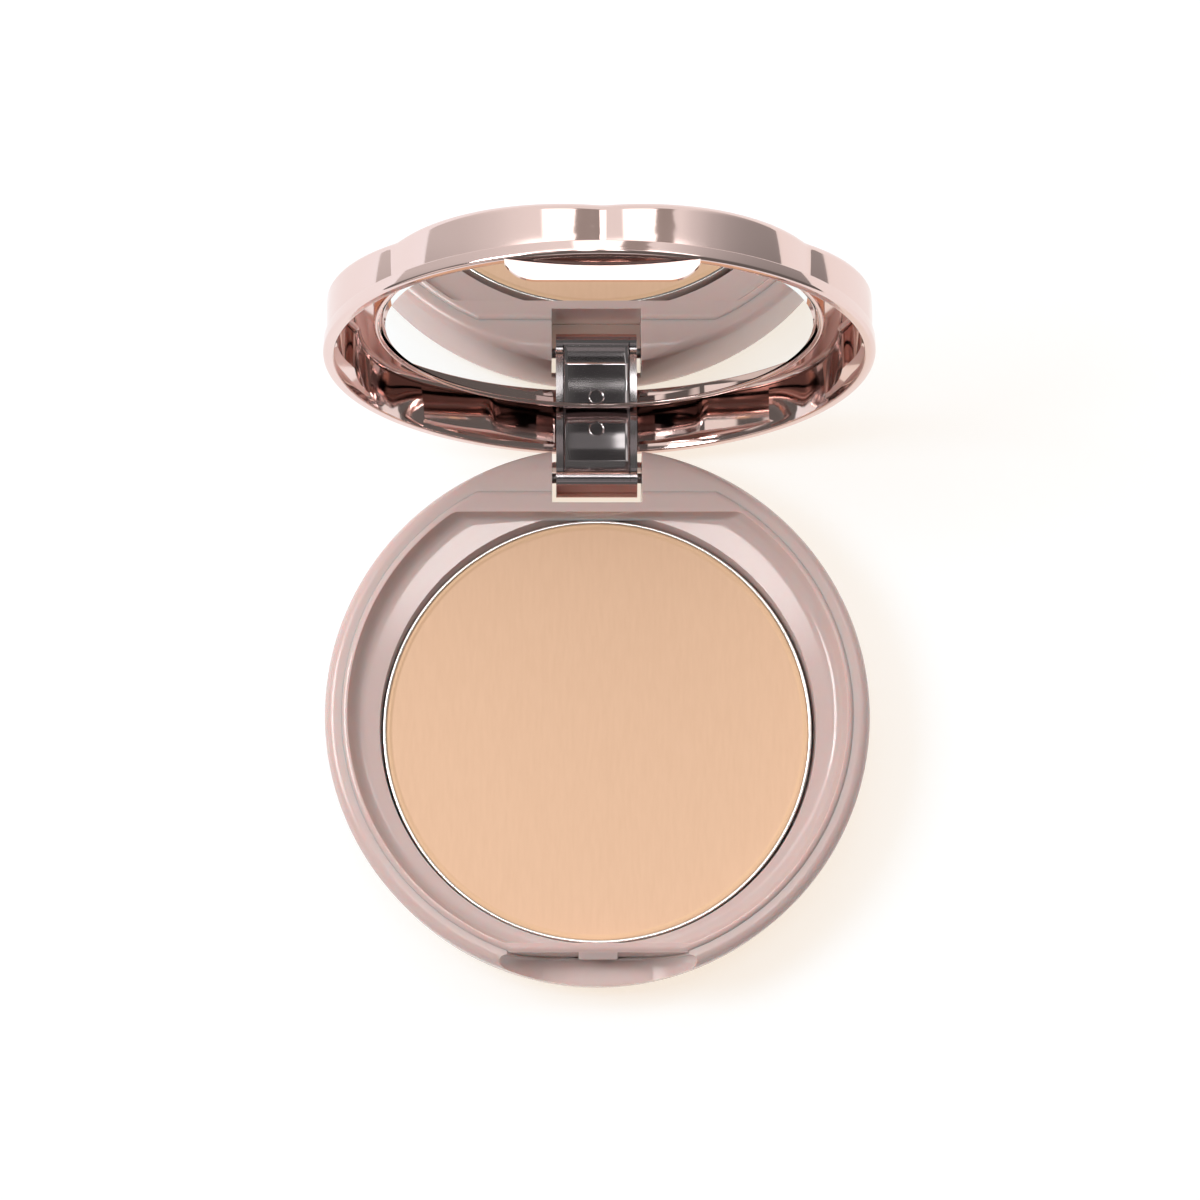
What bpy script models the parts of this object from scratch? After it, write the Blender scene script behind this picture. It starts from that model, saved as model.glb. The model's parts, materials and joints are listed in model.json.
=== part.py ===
"""Powder compact: round moulded base with a pressed powder pan, and a seven-petal mirror lid on a hinge arm.

X runs to the right, Y to the hinge at the rear, Z up. The origin is the centre of the base's flat bottom.
Sizes are millimetres and become metres when a mesh is made. The lid is modelled closed and then turned
open about the hinge axis, so that its sizes stay tied to the base that it shuts on.
"""
import math

import bmesh
import bpy
from mathutils import Matrix, Vector

MM = 0.001
CLEARANCE = 0.3          # gap between pieces that touch
LAYER_GAP = 0.25         # gap between flat layers of one stack
ROUND_STEPS = 76         # facets round the base
FILLET_STEPS = 5         # facets round a rounded edge
FAR = 60.0               # reach of a cut that runs clear of the part
OVERCUT = 1.0            # how far a cut runs past the face that it opens
SKIN = 0.02              # smallest step between two faces that would else fall together

# Powder pan
PAN_RADIUS = 29.5
PAN_HEIGHT = 4.6
PAN_SHEET = 0.45
PAN_BEND = 0.8           # rounding at the foot of the pan
PAN_FIT = 0.4            # ring gap between pan and tray
PAN_PROUD = 0.1          # pan rim above the apron's inner edge
POWDER_BELOW_RIM = 0.25
POWDER_BEVEL = 0.8
POWDER_FOOT = 0.7        # chamfer at the foot of the cake
ADHESIVE_INSET = 7.5     # pan's edge to the adhesive's edge
ADHESIVE_THICKNESS = 0.5

# Plan of the base, from the thumb notch at the front to the hinge at the rear
NOTCH_REACH = 4.35       # rim to the straight wall behind the thumb notch
CUP_FRONT_WALL = 1.15
WELL_BEHIND_PAN = 0.4    # pan cup to the well's rear wall
REAR_WALL = 1.3          # well's rear wall to the hinge slot
SLOT_REACH = 4.3         # front of the hinge slot to the axis
HINGE_INSET = 3.7        # axis to the rim

# Base
BASE_HEIGHT = 11.5       # table to the shoulder that the lid shuts on
BASE_TAPER = 0.7         # how much narrower the wall is at the foot rounding than at the shoulder
FOOT_ROUNDING = 3.2
SHOULDER_ROUNDING = 1.5
BASE_FLOOR = 1.4

# Inner tray
SHOULDER_WIDTH = 2.3     # rim to the tray
REAR_LAND = 2.9          # well's rear wall to the tray's rear edge
TRAY_RISE = 0.4          # tray land above the shoulder
TRAY_RIM_DEPTH = 4.0     # depth of the full-width rim of the tray
TRAY_EDGE = 0.25         # softened top edge
TRAY_CORNER = 0.9
LAND_WIDTH = 0.8
FRONT_LAND = 1.25
WELL_SLOPE = 1.3         # how far the well's wall leans in on its way down
WELL_REAR_SLOPE = 0.25
WELL_FRONT_SLOPE = 0.25
WELL_DEPTH = 2.0
WELL_CORNER = 2.2
APRON_DROP = 0.5         # fall of the apron from the well's wall to the pan
CUP_WALL = 1.1
CUP_FLOOR = 1.0
CUP_CHAMFER = 0.8

# Thumb notch and latch at the front
NOTCH_HALF_WIDTH = 13.8
NOTCH_DEPTH = 4.7        # below the shoulder
NOTCH_ROUNDING = 6.5     # sweep of the floor up to the notch's ends
NOTCH_BREAK = 15.0       # turn at which a sweep leaves the flat floor
NOTCH_CORNER = 1.3       # rounding in plan where the ends meet the wall
NOTCH_DISH = 0.4         # rise of the notch's floor where it meets the outside
FRONT_WALL = 1.1         # thickness of the wall behind the notch
LATCH_WIDTH_TOP = 5.3
LATCH_WIDTH_FOOT = 4.7
LATCH_DROP = 0.3         # tray land to the top of the latch's ramp
LATCH_RAMP = 1.5
LATCH_NOSE = 0.35
LATCH_UNDERCUT = 0.3
LATCH_PROUD = 0.75

# Hinge
HINGE_BELOW = 4.5        # axis below the shoulder
OPEN_ANGLE = 100.0
PIN_DIAMETER = 1.4
PIN_BEVEL = 0.2
EAR_GRIP = 4.8           # length of pin held in each ear
PIN_STEPS = 24
ARM_SIDE_GAP = 0.6       # arm to the side of its slot
SILL_THICKNESS = 1.8     # low bar across the rear of the slot, where the open arm rests
BULLNOSE_RADIUS = 4.5
KNUCKLE_RADIUS = 2.7
ARM_WIDTH = 11.2
ARM_INNER = 2.4          # face towards the mirror, from the axis
ARM_OUTER = 1.1          # face towards the lid's wall, from the axis
ARM_EDGE = 0.5
ARM_ROOT_CHAMFER = 1.1   # clears the rounded corner inside the lid
RAIL_WIDTH = 0.95
POCKET_DEPTH = 1.3
POCKET_START = 0.3       # from the axis along the arm, at the arm's face
POCKET_FOOT_SLOPE = 1.7
POCKET_SAG = 0.35        # hollow of the pocket's floor
POCKET_HEAD = 1.2        # solid head of the arm above the pocket
POCKET_DRAFT = 0.25

# Lid
LID_GAP = 0.2
LID_RING_WIDTH = 1.5
LID_FLANGE = 1.9
LID_FLANGE_EDGE = 0.18
LID_RING_DROP = 0.6      # ring inside the flange, below the flange's top
LID_RING_EDGE = 0.2
LID_TOP = 0.85           # thickness of the top at its edge
LID_CROWN = 0.6
LID_WALL = 1.35
LID_CEILING_BEND = 0.9
LID_EDGE_ROUNDING = 1.2
LID_RIM_ROUNDING = 0.5
PETALS = 7
PETAL_STEP = 0.2         # flange's edge to the petals' tips
PETAL_CENTRE = 12.7      # lid's axis to the centre of a petal's arc
PETAL_STEPS = 12
CATCH_GAP = 0.4          # latch to the tongue
TONGUE_THICKNESS = 0.7
TONGUE_PROUD = 2.9
TONGUE_SIDE_GAP = 0.8    # tongue's root to the end of the notch
TONGUE_CORNER = 4.9      # rounding of the tongue's lower corners
TONGUE_SWEEP = 60.0      # turn of that rounding
TONGUE_EDGE = 0.12
THUMB_PLATE_START = 0.3
THUMB_PLATE_THICKNESS = 1.2

# Mirror
MIRROR_DEPTH = 4.6       # rim plane to glass
MIRROR_THICKNESS = 1.0
MIRROR_BEVEL = 0.5
MIRROR_BEVEL_FALL = 0.4
TAPE_INSET = 3.5
TAPE_THICKNESS = 0.3
FRAME_PLATE = 0.5
FRAME_BEAD_WIDTH = 0.8
FRAME_BEAD_RISE = 0.15   # bead proud of the glass
FRAME_TO_ARM = 0.75

# Places worked out from the sizes above
PAN_SEAT_RADIUS = PAN_RADIUS + PAN_FIT
FRONT_DEPTH = NOTCH_REACH + CUP_FRONT_WALL
REAR_DEPTH = WELL_BEHIND_PAN + REAR_WALL + SLOT_REACH + HINGE_INSET
BASE_RADIUS = (FRONT_DEPTH + 2 * PAN_SEAT_RADIUS + REAR_DEPTH) / 2
PAN_CENTRE_Y = FRONT_DEPTH + PAN_SEAT_RADIUS - BASE_RADIUS
HINGE_Y = BASE_RADIUS - HINGE_INSET
SLOT_FRONT = HINGE_Y - SLOT_REACH
WELL_REAR = SLOT_FRONT - REAR_WALL
TRAY_RADIUS = BASE_RADIUS - SHOULDER_WIDTH
TRAY_REAR = WELL_REAR + REAR_LAND
TRAY_FRONT = BASE_RADIUS - NOTCH_REACH
NOTCH_INNER_HALF = NOTCH_HALF_WIDTH - NOTCH_CORNER
WELL_RADIUS = TRAY_RADIUS - LAND_WIDTH
WELL_FRONT = TRAY_FRONT - FRONT_LAND
SILL_FRONT = BASE_RADIUS - SILL_THICKNESS
SLOT_WIDTH = ARM_WIDTH + 2 * ARM_SIDE_GAP
PIN_LENGTH = SLOT_WIDTH + 2 * EAR_GRIP
LID_RADIUS = BASE_RADIUS
LID_RING_INNER = LID_RADIUS - LID_RING_WIDTH
PETAL_TIP = LID_RADIUS - PETAL_STEP
TONGUE_BACK = TRAY_FRONT + LATCH_PROUD + CATCH_GAP
TONGUE_FRONT = TONGUE_BACK + TONGUE_THICKNESS
TONGUE_HALF = NOTCH_HALF_WIDTH - TONGUE_SIDE_GAP
FRAME_RADIUS = HINGE_Y - ARM_INNER - FRAME_TO_ARM
FRAME_INNER = FRAME_RADIUS - FRAME_BEAD_WIDTH
MIRROR_RADIUS = FRAME_INNER - CLEARANCE

# Heights worked out from the sizes above
HINGE_Z = BASE_HEIGHT - HINGE_BELOW
NOTCH_FLOOR = BASE_HEIGHT - NOTCH_DEPTH
RIM_PLANE = BASE_HEIGHT + LID_GAP
LAND = BASE_HEIGHT + TRAY_RISE
TOP_CUT = LAND + OVERCUT
APRON = LAND - WELL_DEPTH
APRON_LOW = APRON - APRON_DROP
PAN_TOP = APRON_LOW + PAN_PROUD
PAN_BOTTOM = PAN_TOP - PAN_HEIGHT
ADHESIVE_TOP = PAN_BOTTOM - LAYER_GAP
ADHESIVE_BOTTOM = ADHESIVE_TOP - ADHESIVE_THICKNESS
CUP_BOTTOM_INSIDE = ADHESIVE_BOTTOM - LAYER_GAP
CUP_BOTTOM = CUP_BOTTOM_INSIDE - CUP_FLOOR
TRAY_RIM_BOTTOM = LAND - TRAY_RIM_DEPTH
GLASS_FACE = RIM_PLANE + MIRROR_DEPTH
GLASS_BACK = GLASS_FACE + MIRROR_THICKNESS
TAPE_FACE = GLASS_BACK + LAYER_GAP
TAPE_BACK = TAPE_FACE + TAPE_THICKNESS
FRAME_FACE = TAPE_BACK + LAYER_GAP
FRAME_BACK = FRAME_FACE + FRAME_PLATE
CEILING = FRAME_BACK + LAYER_GAP
LID_OUTER = CEILING + LID_TOP


def clear_scene():
    for old in list(bpy.data.objects):
        bpy.data.objects.remove(old, do_unlink=True)


def make_material(name, colour, roughness, metallic):
    material = bpy.data.materials.new(name)
    material.use_nodes = True
    shader = material.node_tree.nodes["Principled BSDF"]
    shader.inputs["Base Color"].default_value = (*colour, 1.0)
    shader.inputs["Roughness"].default_value = roughness
    shader.inputs["Metallic"].default_value = metallic
    material.diffuse_color = (*colour, 1.0)
    return material


def arc(centre_a, centre_b, radius, start, end, steps=FILLET_STEPS):
    """Points of an arc in a plane, angles in degrees from the first axis."""
    points = []
    for step in range(steps + 1):
        angle = math.radians(start + (end - start) * step / steps)
        points.append((centre_a + radius * math.cos(angle), centre_b + radius * math.sin(angle)))
    return points


def new_object(name, mesh_data):
    bmesh.ops.recalc_face_normals(mesh_data, faces=mesh_data.faces)
    mesh = bpy.data.meshes.new(name)
    mesh_data.to_mesh(mesh)
    mesh_data.free()
    made = bpy.data.objects.new(name, mesh)
    bpy.context.scene.collection.objects.link(made)
    return made


def loft(name, loops):
    """Closed skin through loops of equal count. A loop of one point closes an end to a pole."""
    data = bmesh.new()
    rings = [[data.verts.new(Vector(point) * MM) for point in loop] for loop in loops]
    for lower, upper in zip(rings, rings[1:]):
        count = max(len(lower), len(upper))
        for i in range(count):
            j = (i + 1) % count
            corners = [lower[i % len(lower)], lower[j % len(lower)]]
            corners += [upper[j % len(upper)], upper[i % len(upper)]]
            data.faces.new(list(dict.fromkeys(corners)))
    for ring in (rings[0], rings[-1]):
        if len(ring) > 2:
            data.faces.new(ring)
    return new_object(name, data)


def turned(name, profile, centre_y=0.0, steps=ROUND_STEPS):
    """Solid of revolution about Z from (radius, height) points that start and end on the axis."""
    loops = []
    for radius, height in profile:
        if radius == 0:
            loops.append([(0, centre_y, height)])
            continue
        turns = [2 * math.pi * i / steps for i in range(steps)]
        loops.append([(radius * math.cos(a), centre_y + radius * math.sin(a), height) for a in turns])
    return loft(name, loops)


def prism(name, outline, half_width):
    """Outline in (Y, Z) carried across X from -half_width to +half_width."""
    return loft(name, [[(x, y, z) for y, z in outline] for x in (-half_width, half_width)])


def block(name, low, high):
    outline = [(low[1], low[2]), (high[1], low[2]), (high[1], high[2]), (low[1], high[2])]
    return loft(name, [[(x, y, z) for y, z in outline] for x in (low[0], high[0])])


def boolean(target, tool, operation):
    modifier = target.modifiers.new(operation.lower(), "BOOLEAN")
    modifier.operation = operation
    modifier.object = tool
    modifier.solver = "EXACT"
    tool.hide_render = True
    tool.display_type = "WIRE"


def finish_piece(piece, material, parent=None, smooth_angle=30.0):
    piece.data.materials.append(material)
    piece.data.shade_smooth()
    piece.data.set_sharp_from_angle(angle=math.radians(smooth_angle))
    if parent is not None:
        tools = [modifier.object for modifier in piece.modifiers if modifier.type == "BOOLEAN"]
        for follower in [piece] + tools:
            follower.parent = parent
            follower.matrix_parent_inverse = Matrix.Translation(-parent.location)


def chorded_outline(radius, rear, front, corner, steps=ROUND_STEPS):
    """Circle cut straight at the rear (+Y) and front (-Y), with rounded corners."""
    points = []
    inner = radius - corner
    for sign, chord in ((1, rear), (-1, front)):
        level = chord - corner
        reach = math.sqrt(inner ** 2 - level ** 2)
        tilt = math.degrees(math.atan2(level, reach))
        right = arc(reach, sign * level, corner, sign * tilt, sign * 90)
        left = arc(-reach, sign * level, corner, sign * 90, 180 - tilt if sign > 0 else tilt - 180)
        points.append((tilt, right, left))
    rear_tilt, rear_right, rear_left = points[0]
    front_tilt, front_right, front_left = points[1]
    side = steps // 2
    outline = rear_right + rear_left
    outline += arc(0, 0, radius, 180 - rear_tilt, 180 + front_tilt, side)[1:-1]
    outline += front_left[::-1] + front_right[::-1]
    outline += arc(0, 0, radius, -front_tilt, rear_tilt, side)[1:-1]
    return outline


def petal_outline(inset, scale=1.0):
    """Seven petals, one at the hinge and a cusp at the front; inset moves the line inwards."""
    reach = PETAL_TIP - PETAL_CENTRE - inset
    half_turn = math.pi / PETALS
    points = []
    for petal in range(PETALS):
        middle = math.pi / 2 + 2 * half_turn * petal
        for step in range(PETAL_STEPS):
            turn = half_turn * (2 * step / PETAL_STEPS - 1)
            across = PETAL_CENTRE * math.sin(turn)
            radius = PETAL_CENTRE * math.cos(turn) + math.sqrt(reach ** 2 - across ** 2)
            angle = middle + turn
            points.append((scale * radius * math.cos(angle), scale * radius * math.sin(angle)))
    return points


def circle_outline(radius):
    """Circle with its points at the same turns as the petals' points."""
    count = PETALS * PETAL_STEPS
    start = math.pi / 2 - math.pi / PETALS
    turns = [start + 2 * math.pi * i / count for i in range(count)]
    return [(radius * math.cos(a), radius * math.sin(a)) for a in turns]


def at_height(outline, height):
    return [(x, y, height) for x, y in outline]


def base_outer_profile():
    foot_centre = BASE_RADIUS - BASE_TAPER - FOOT_ROUNDING
    shoulder_centre = BASE_RADIUS - SHOULDER_ROUNDING
    profile = [(0, 0)]
    profile += arc(foot_centre, FOOT_ROUNDING, FOOT_ROUNDING, -90, 0)
    profile += arc(shoulder_centre, BASE_HEIGHT - SHOULDER_ROUNDING, SHOULDER_ROUNDING, 0, 90)
    profile.append((0, BASE_HEIGHT))
    return profile


def make_base_shell(material):
    """Outer moulding: bowl, shoulder, hinge block with its slot, and the thumb notch."""
    shell = turned("base_shell", base_outer_profile())
    rim_outline = chorded_outline(TRAY_RADIUS + CLEARANCE, TRAY_REAR + CLEARANCE, TRAY_FRONT + CLEARANCE,
                                  TRAY_CORNER + CLEARANCE)
    shelf = TRAY_RIM_BOTTOM - CLEARANCE
    rim_space = loft("tray_rim_space", [at_height(rim_outline, z) for z in (shelf, TOP_CUT)])
    boolean(shell, rim_space, "DIFFERENCE")
    cup_radius = PAN_SEAT_RADIUS + CUP_WALL + CLEARANCE
    bowl = turned(
        "tray_cup_space",
        [(0, BASE_FLOOR), (cup_radius - CUP_CHAMFER, BASE_FLOOR), (cup_radius, BASE_FLOOR + CUP_CHAMFER),
         (cup_radius, shelf + CLEARANCE), (0, shelf + CLEARANCE)],
        PAN_CENTRE_Y,
    )
    front_limit = block("cup_front_limit", (-FAR, -FAR, -FAR), (FAR, -TRAY_FRONT - CLEARANCE, FAR))
    boolean(bowl, front_limit, "DIFFERENCE")
    boolean(shell, bowl, "DIFFERENCE")

    nose = arc(HINGE_Y, HINGE_Z, BULLNOSE_RADIUS, 90, 0, 2 * FILLET_STEPS)
    outside = [(HINGE_Y + FAR, HINGE_Z), (HINGE_Y + FAR, TOP_CUT), (HINGE_Y, TOP_CUT)]
    boolean(shell, prism("bullnose_cut", nose + outside, FAR), "DIFFERENCE")

    sill_top = arm_rest_height()
    slot = [(SLOT_FRONT, -OVERCUT), (SILL_FRONT, -OVERCUT), (SILL_FRONT, sill_top), (FAR, sill_top),
            (FAR, TOP_CUT), (SLOT_FRONT, TOP_CUT)]
    boolean(shell, prism("hinge_slot", slot, SLOT_WIDTH / 2), "DIFFERENCE")
    bore = prism("pin_bore", pin_circle(PIN_DIAMETER / 2 + CLEARANCE), PIN_LENGTH / 2 + CLEARANCE)
    boolean(shell, bore, "DIFFERENCE")
    boolean(shell, make_thumb_notch(), "DIFFERENCE")
    finish_piece(shell, material)


def pin_circle(radius):
    """Circle about the hinge axis, in (Y, Z)."""
    return arc(HINGE_Y, HINGE_Z, radius, 0, 360 - 360 / PIN_STEPS, PIN_STEPS - 1)


def arm_rest_height():
    """Top of the sill, just under the open arm at the back of the base."""
    lean = math.radians(OPEN_ANGLE - 90)
    reach = BASE_RADIUS - HINGE_Y
    return HINGE_Z - reach * math.tan(lean) - ARM_OUTER / math.cos(lean) - CLEARANCE


def notch_section(half, low, top):
    """Trough in (X, Z), open at the top: a flat floor between two sweeps that rise to the shoulder."""
    rise = BASE_HEIGHT - low
    lean = math.degrees(math.atan2(rise, NOTCH_ROUNDING))
    turn = lean - NOTCH_BREAK
    radius = math.hypot(NOTCH_ROUNDING, rise) / (2 * math.sin(math.radians(turn)))
    centre_x = half - NOTCH_ROUNDING - radius * math.sin(math.radians(NOTCH_BREAK))
    centre_z = low + radius * math.cos(math.radians(NOTCH_BREAK))
    right = arc(centre_x, centre_z, radius, NOTCH_BREAK - 90, NOTCH_BREAK + 2 * turn - 90)
    right.append((half, top))
    return right + [(-x, z) for x, z in right[::-1]]


def make_thumb_notch():
    """Scoop cut into the front of the shell. Its floor is dished and its ends are rounded in plan."""
    wall = -TRAY_FRONT - CLEARANCE
    run = BASE_RADIUS - TRAY_FRONT
    stations = [(wall + FRONT_WALL + 2 * CLEARANCE, NOTCH_INNER_HALF, 0.0), (wall, NOTCH_INNER_HALF, 0.0)]
    for widen, back in arc(0, 0, NOTCH_CORNER, 60, 0, 2):
        stations.append((wall - NOTCH_CORNER + back, NOTCH_INNER_HALF + widen, 0.0))
    for share in (0.4, 0.7, 1.0, 1.3):
        rise = NOTCH_DISH * ((share - 0.3) / 0.7) ** 2
        stations.append((wall - max(run * share, NOTCH_CORNER + CLEARANCE * share), NOTCH_HALF_WIDTH, rise))
    loops = []
    for y, half, rise in stations:
        loops.append([(x, y, z) for x, z in notch_section(half, NOTCH_FLOOR + rise, TOP_CUT)])
    return loft("thumb_notch", loops)


def make_base_tray(material):
    """Insert with the land, the leaning well, the apron, the cup that holds the pan, and the latch."""
    body = chorded_outline(TRAY_RADIUS, TRAY_REAR, TRAY_FRONT, TRAY_CORNER)
    lip = chorded_outline(TRAY_RADIUS - TRAY_EDGE, TRAY_REAR - TRAY_EDGE, TRAY_FRONT - TRAY_EDGE, TRAY_CORNER)
    tray_loops = [at_height(body, TRAY_RIM_BOTTOM), at_height(body, LAND - TRAY_EDGE), at_height(lip, LAND)]
    tray = loft("base_tray", tray_loops)
    cup_radius = PAN_SEAT_RADIUS + CUP_WALL
    cup_top = APRON_LOW - CLEARANCE
    cup = turned(
        "pan_cup",
        [(0, CUP_BOTTOM), (cup_radius - CUP_CHAMFER, CUP_BOTTOM), (cup_radius, CUP_BOTTOM + CUP_CHAMFER),
         (cup_radius, cup_top), (0, cup_top)],
        PAN_CENTRE_Y,
    )
    boolean(cup, block("cup_front_trim", (-FAR, -FAR, -FAR), (FAR, -TRAY_FRONT, FAR)), "DIFFERENCE")
    boolean(tray, cup, "UNION")
    wall_section = notch_section(NOTCH_INNER_HALF - CLEARANCE, NOTCH_FLOOR + CLEARANCE, LAND - LATCH_DROP)
    wall_loops = [[(x, y, z) for x, z in wall_section] for y in (-TRAY_FRONT, FRONT_WALL - TRAY_FRONT)]
    boolean(tray, loft("front_wall", wall_loops), "UNION")

    well_loops = []
    for share, height in ((0.0, TOP_CUT), (0.0, LAND), (1.0, APRON)):
        well_loops.append(at_height(well_outline(share), height))
    boolean(tray, loft("well_space", well_loops), "DIFFERENCE")
    apron_top = APRON + SKIN
    apron = turned(
        "apron_fall",
        [(0, APRON_LOW), (PAN_SEAT_RADIUS, APRON_LOW),
         (WELL_RADIUS - WELL_SLOPE - PAN_CENTRE_Y, apron_top), (0, apron_top)],
        PAN_CENTRE_Y,
    )
    boolean(apron, loft("apron_limit", [at_height(well_outline(1.0), z) for z in (0, TOP_CUT)]), "INTERSECT")
    boolean(tray, apron, "DIFFERENCE")
    seat_top = APRON + CLEARANCE
    seat = turned(
        "pan_space",
        [(0, CUP_BOTTOM_INSIDE), (PAN_SEAT_RADIUS, CUP_BOTTOM_INSIDE),
         (PAN_SEAT_RADIUS, seat_top), (0, seat_top)],
        PAN_CENTRE_Y,
    )
    boolean(tray, seat, "DIFFERENCE")
    slot = block("tray_slot", (-SLOT_WIDTH / 2, SLOT_FRONT, -OVERCUT), (SLOT_WIDTH / 2, FAR, TOP_CUT))
    boolean(tray, slot, "DIFFERENCE")
    boolean(tray, make_latch(), "UNION")
    finish_piece(tray, material)


def well_outline(share):
    """Well's outline, from its top edge (share 0) to its foot (share 1)."""
    return chorded_outline(WELL_RADIUS - WELL_SLOPE * share, WELL_REAR - WELL_REAR_SLOPE * share,
                           WELL_FRONT - WELL_FRONT_SLOPE * share, WELL_CORNER)


def make_latch():
    """Wedge on the front wall: a ramp that the lid's tongue rides down, then an undercut."""
    face = -TRAY_FRONT
    root = face + FRONT_WALL / 2
    nose = face - LATCH_PROUD
    ramp_top = LAND - LATCH_DROP
    nose_top = ramp_top - LATCH_RAMP
    nose_foot = nose_top - LATCH_NOSE
    loops = []
    wall_foot = nose_foot - LATCH_UNDERCUT
    top_half = LATCH_WIDTH_TOP / 2
    foot_half = LATCH_WIDTH_FOOT / 2
    for y, top, foot in ((root, ramp_top, wall_foot), (face, ramp_top, wall_foot), (nose, nose_top, nose_foot)):
        loops.append([(-top_half, y, top), (top_half, y, top), (foot_half, y, foot), (-foot_half, y, foot)])
    return loft("latch", loops)


def make_powder_pan(material):
    """Pressed tinplate pan with a rolled top edge."""
    inner = PAN_RADIUS - PAN_SHEET
    lip = PAN_SHEET / 2
    floor = PAN_BOTTOM + PAN_SHEET
    profile = [(0, PAN_BOTTOM)]
    profile += arc(PAN_RADIUS - PAN_BEND, PAN_BOTTOM + PAN_BEND, PAN_BEND, -90, 0, 3)
    profile += arc(PAN_RADIUS - lip, PAN_TOP - lip, lip, 0, 180, 4)
    profile += [(inner, PAN_BOTTOM + PAN_BEND), (inner - PAN_BEND + PAN_SHEET, floor), (0, floor)]
    finish_piece(turned("powder_pan", profile, PAN_CENTRE_Y), material)


def make_pressed_powder(material):
    """Cake of pressed powder with a bevelled edge."""
    radius = PAN_RADIUS - PAN_SHEET - CLEARANCE
    bottom = PAN_BOTTOM + PAN_SHEET + CLEARANCE
    top = PAN_TOP - POWDER_BELOW_RIM
    profile = [(0, bottom), (radius - POWDER_FOOT, bottom), (radius, bottom + POWDER_FOOT)]
    profile += [(radius, top - POWDER_BEVEL / 2), (radius - POWDER_BEVEL, top), (0, top)]
    finish_piece(turned("pressed_powder", profile, PAN_CENTRE_Y), material)


def make_pan_adhesive(material):
    """Round pad of adhesive that holds the pan in its cup."""
    radius = PAN_RADIUS - ADHESIVE_INSET
    profile = [(0, ADHESIVE_BOTTOM), (radius, ADHESIVE_BOTTOM), (radius, ADHESIVE_TOP), (0, ADHESIVE_TOP)]
    finish_piece(turned("pan_adhesive", profile, PAN_CENTRE_Y, ROUND_STEPS // 2), material)


def make_hinge_pin(material):
    """Steel pin across the slot, held in both ears of the hinge block."""
    end = PIN_LENGTH / 2
    radius = PIN_DIAMETER / 2
    loops = []
    for x, shrink in ((-end, PIN_BEVEL), (PIN_BEVEL - end, 0), (end - PIN_BEVEL, 0), (end, PIN_BEVEL)):
        loops.append([(x, y, z) for y, z in pin_circle(radius - shrink)])
    finish_piece(loft("hinge_pin", loops), material)


def make_lid_shell(material, hinge):
    """Round closing flange under a seven-petal wall and a crowned top, with the catch tongue at the front."""
    bend = LID_CEILING_BEND
    loops = [[(0, 0, CEILING)], at_height(petal_outline(LID_WALL + bend, 0.6), CEILING)]
    for inset, height in arc(bend, CEILING - bend, bend, 90, 180, 3):
        loops.append(at_height(petal_outline(LID_WALL + inset), height))
    flange_top = RIM_PLANE + LID_FLANGE
    ring_top = flange_top - LID_RING_DROP
    loops.append(at_height(petal_outline(LID_WALL), ring_top))
    loops.append(at_height(circle_outline(LID_RING_INNER), ring_top - LID_RING_DROP / 2))
    loops.append(at_height(circle_outline(LID_RING_INNER), RIM_PLANE + LID_RING_EDGE))
    loops.append(at_height(circle_outline(LID_RING_INNER + LID_RING_EDGE), RIM_PLANE))
    rounding = LID_RIM_ROUNDING
    for radius, height in arc(LID_RADIUS - rounding, RIM_PLANE + rounding, rounding, -90, 0, 3):
        loops.append(at_height(circle_outline(radius), height))
    loops.append(at_height(circle_outline(LID_RADIUS), flange_top - LID_FLANGE_EDGE))
    loops.append(at_height(circle_outline(LID_RADIUS - PETAL_STEP / 2), flange_top))
    loops.append(at_height(petal_outline(0.0), flange_top + SKIN))
    edge = LID_EDGE_ROUNDING
    for inset, height in arc(edge, LID_OUTER - edge, edge, 180, 90):
        loops.append(at_height(petal_outline(inset), height))
    for scale in (0.85, 0.6, 0.3):
        loops.append(at_height(petal_outline(edge, scale), LID_OUTER + LID_CROWN * (1 - scale ** 2)))
    loops.append([(0, 0, LID_OUTER + LID_CROWN)])
    lid = loft("lid_shell", loops)

    plate_low = RIM_PLANE + THUMB_PLATE_START
    plate_high = plate_low + THUMB_PLATE_THICKNESS
    plate_reach = LID_RING_INNER + LID_RING_WIDTH / 3
    edge_turn = math.degrees(math.asin(TONGUE_BACK / plate_reach))
    plate = arc(0, 0, plate_reach, edge_turn - 180, -edge_turn, 3 * FILLET_STEPS)
    boolean(lid, loft("thumb_plate", [at_height(plate, z) for z in (plate_low, plate_high)]), "UNION")
    boolean(lid, make_catch_tongue((plate_low + plate_high) / 2), "UNION")
    finish_piece(lid, material, hinge)


def make_catch_tongue(root):
    """Blade with round lower corners at the front of the lid, which drops in front of the base's latch."""
    loops = []
    for y, shrink in ((TONGUE_BACK, 0.0), (TONGUE_FRONT - TONGUE_EDGE, 0.0), (TONGUE_FRONT, TONGUE_EDGE)):
        corner = TONGUE_CORNER - shrink
        sweep = math.radians(TONGUE_SWEEP)
        centre_x = TONGUE_HALF - TONGUE_CORNER * math.sin(sweep)
        side = arc(centre_x, RIM_PLANE - TONGUE_PROUD + TONGUE_CORNER, corner, -90, TONGUE_SWEEP - 90)
        side.append((side[-1][0], root))
        loops.append([(x, -y, z) for x, z in side + [(-x, z) for x, z in side[::-1]]])
    return loft("catch_tongue", loops)


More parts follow.
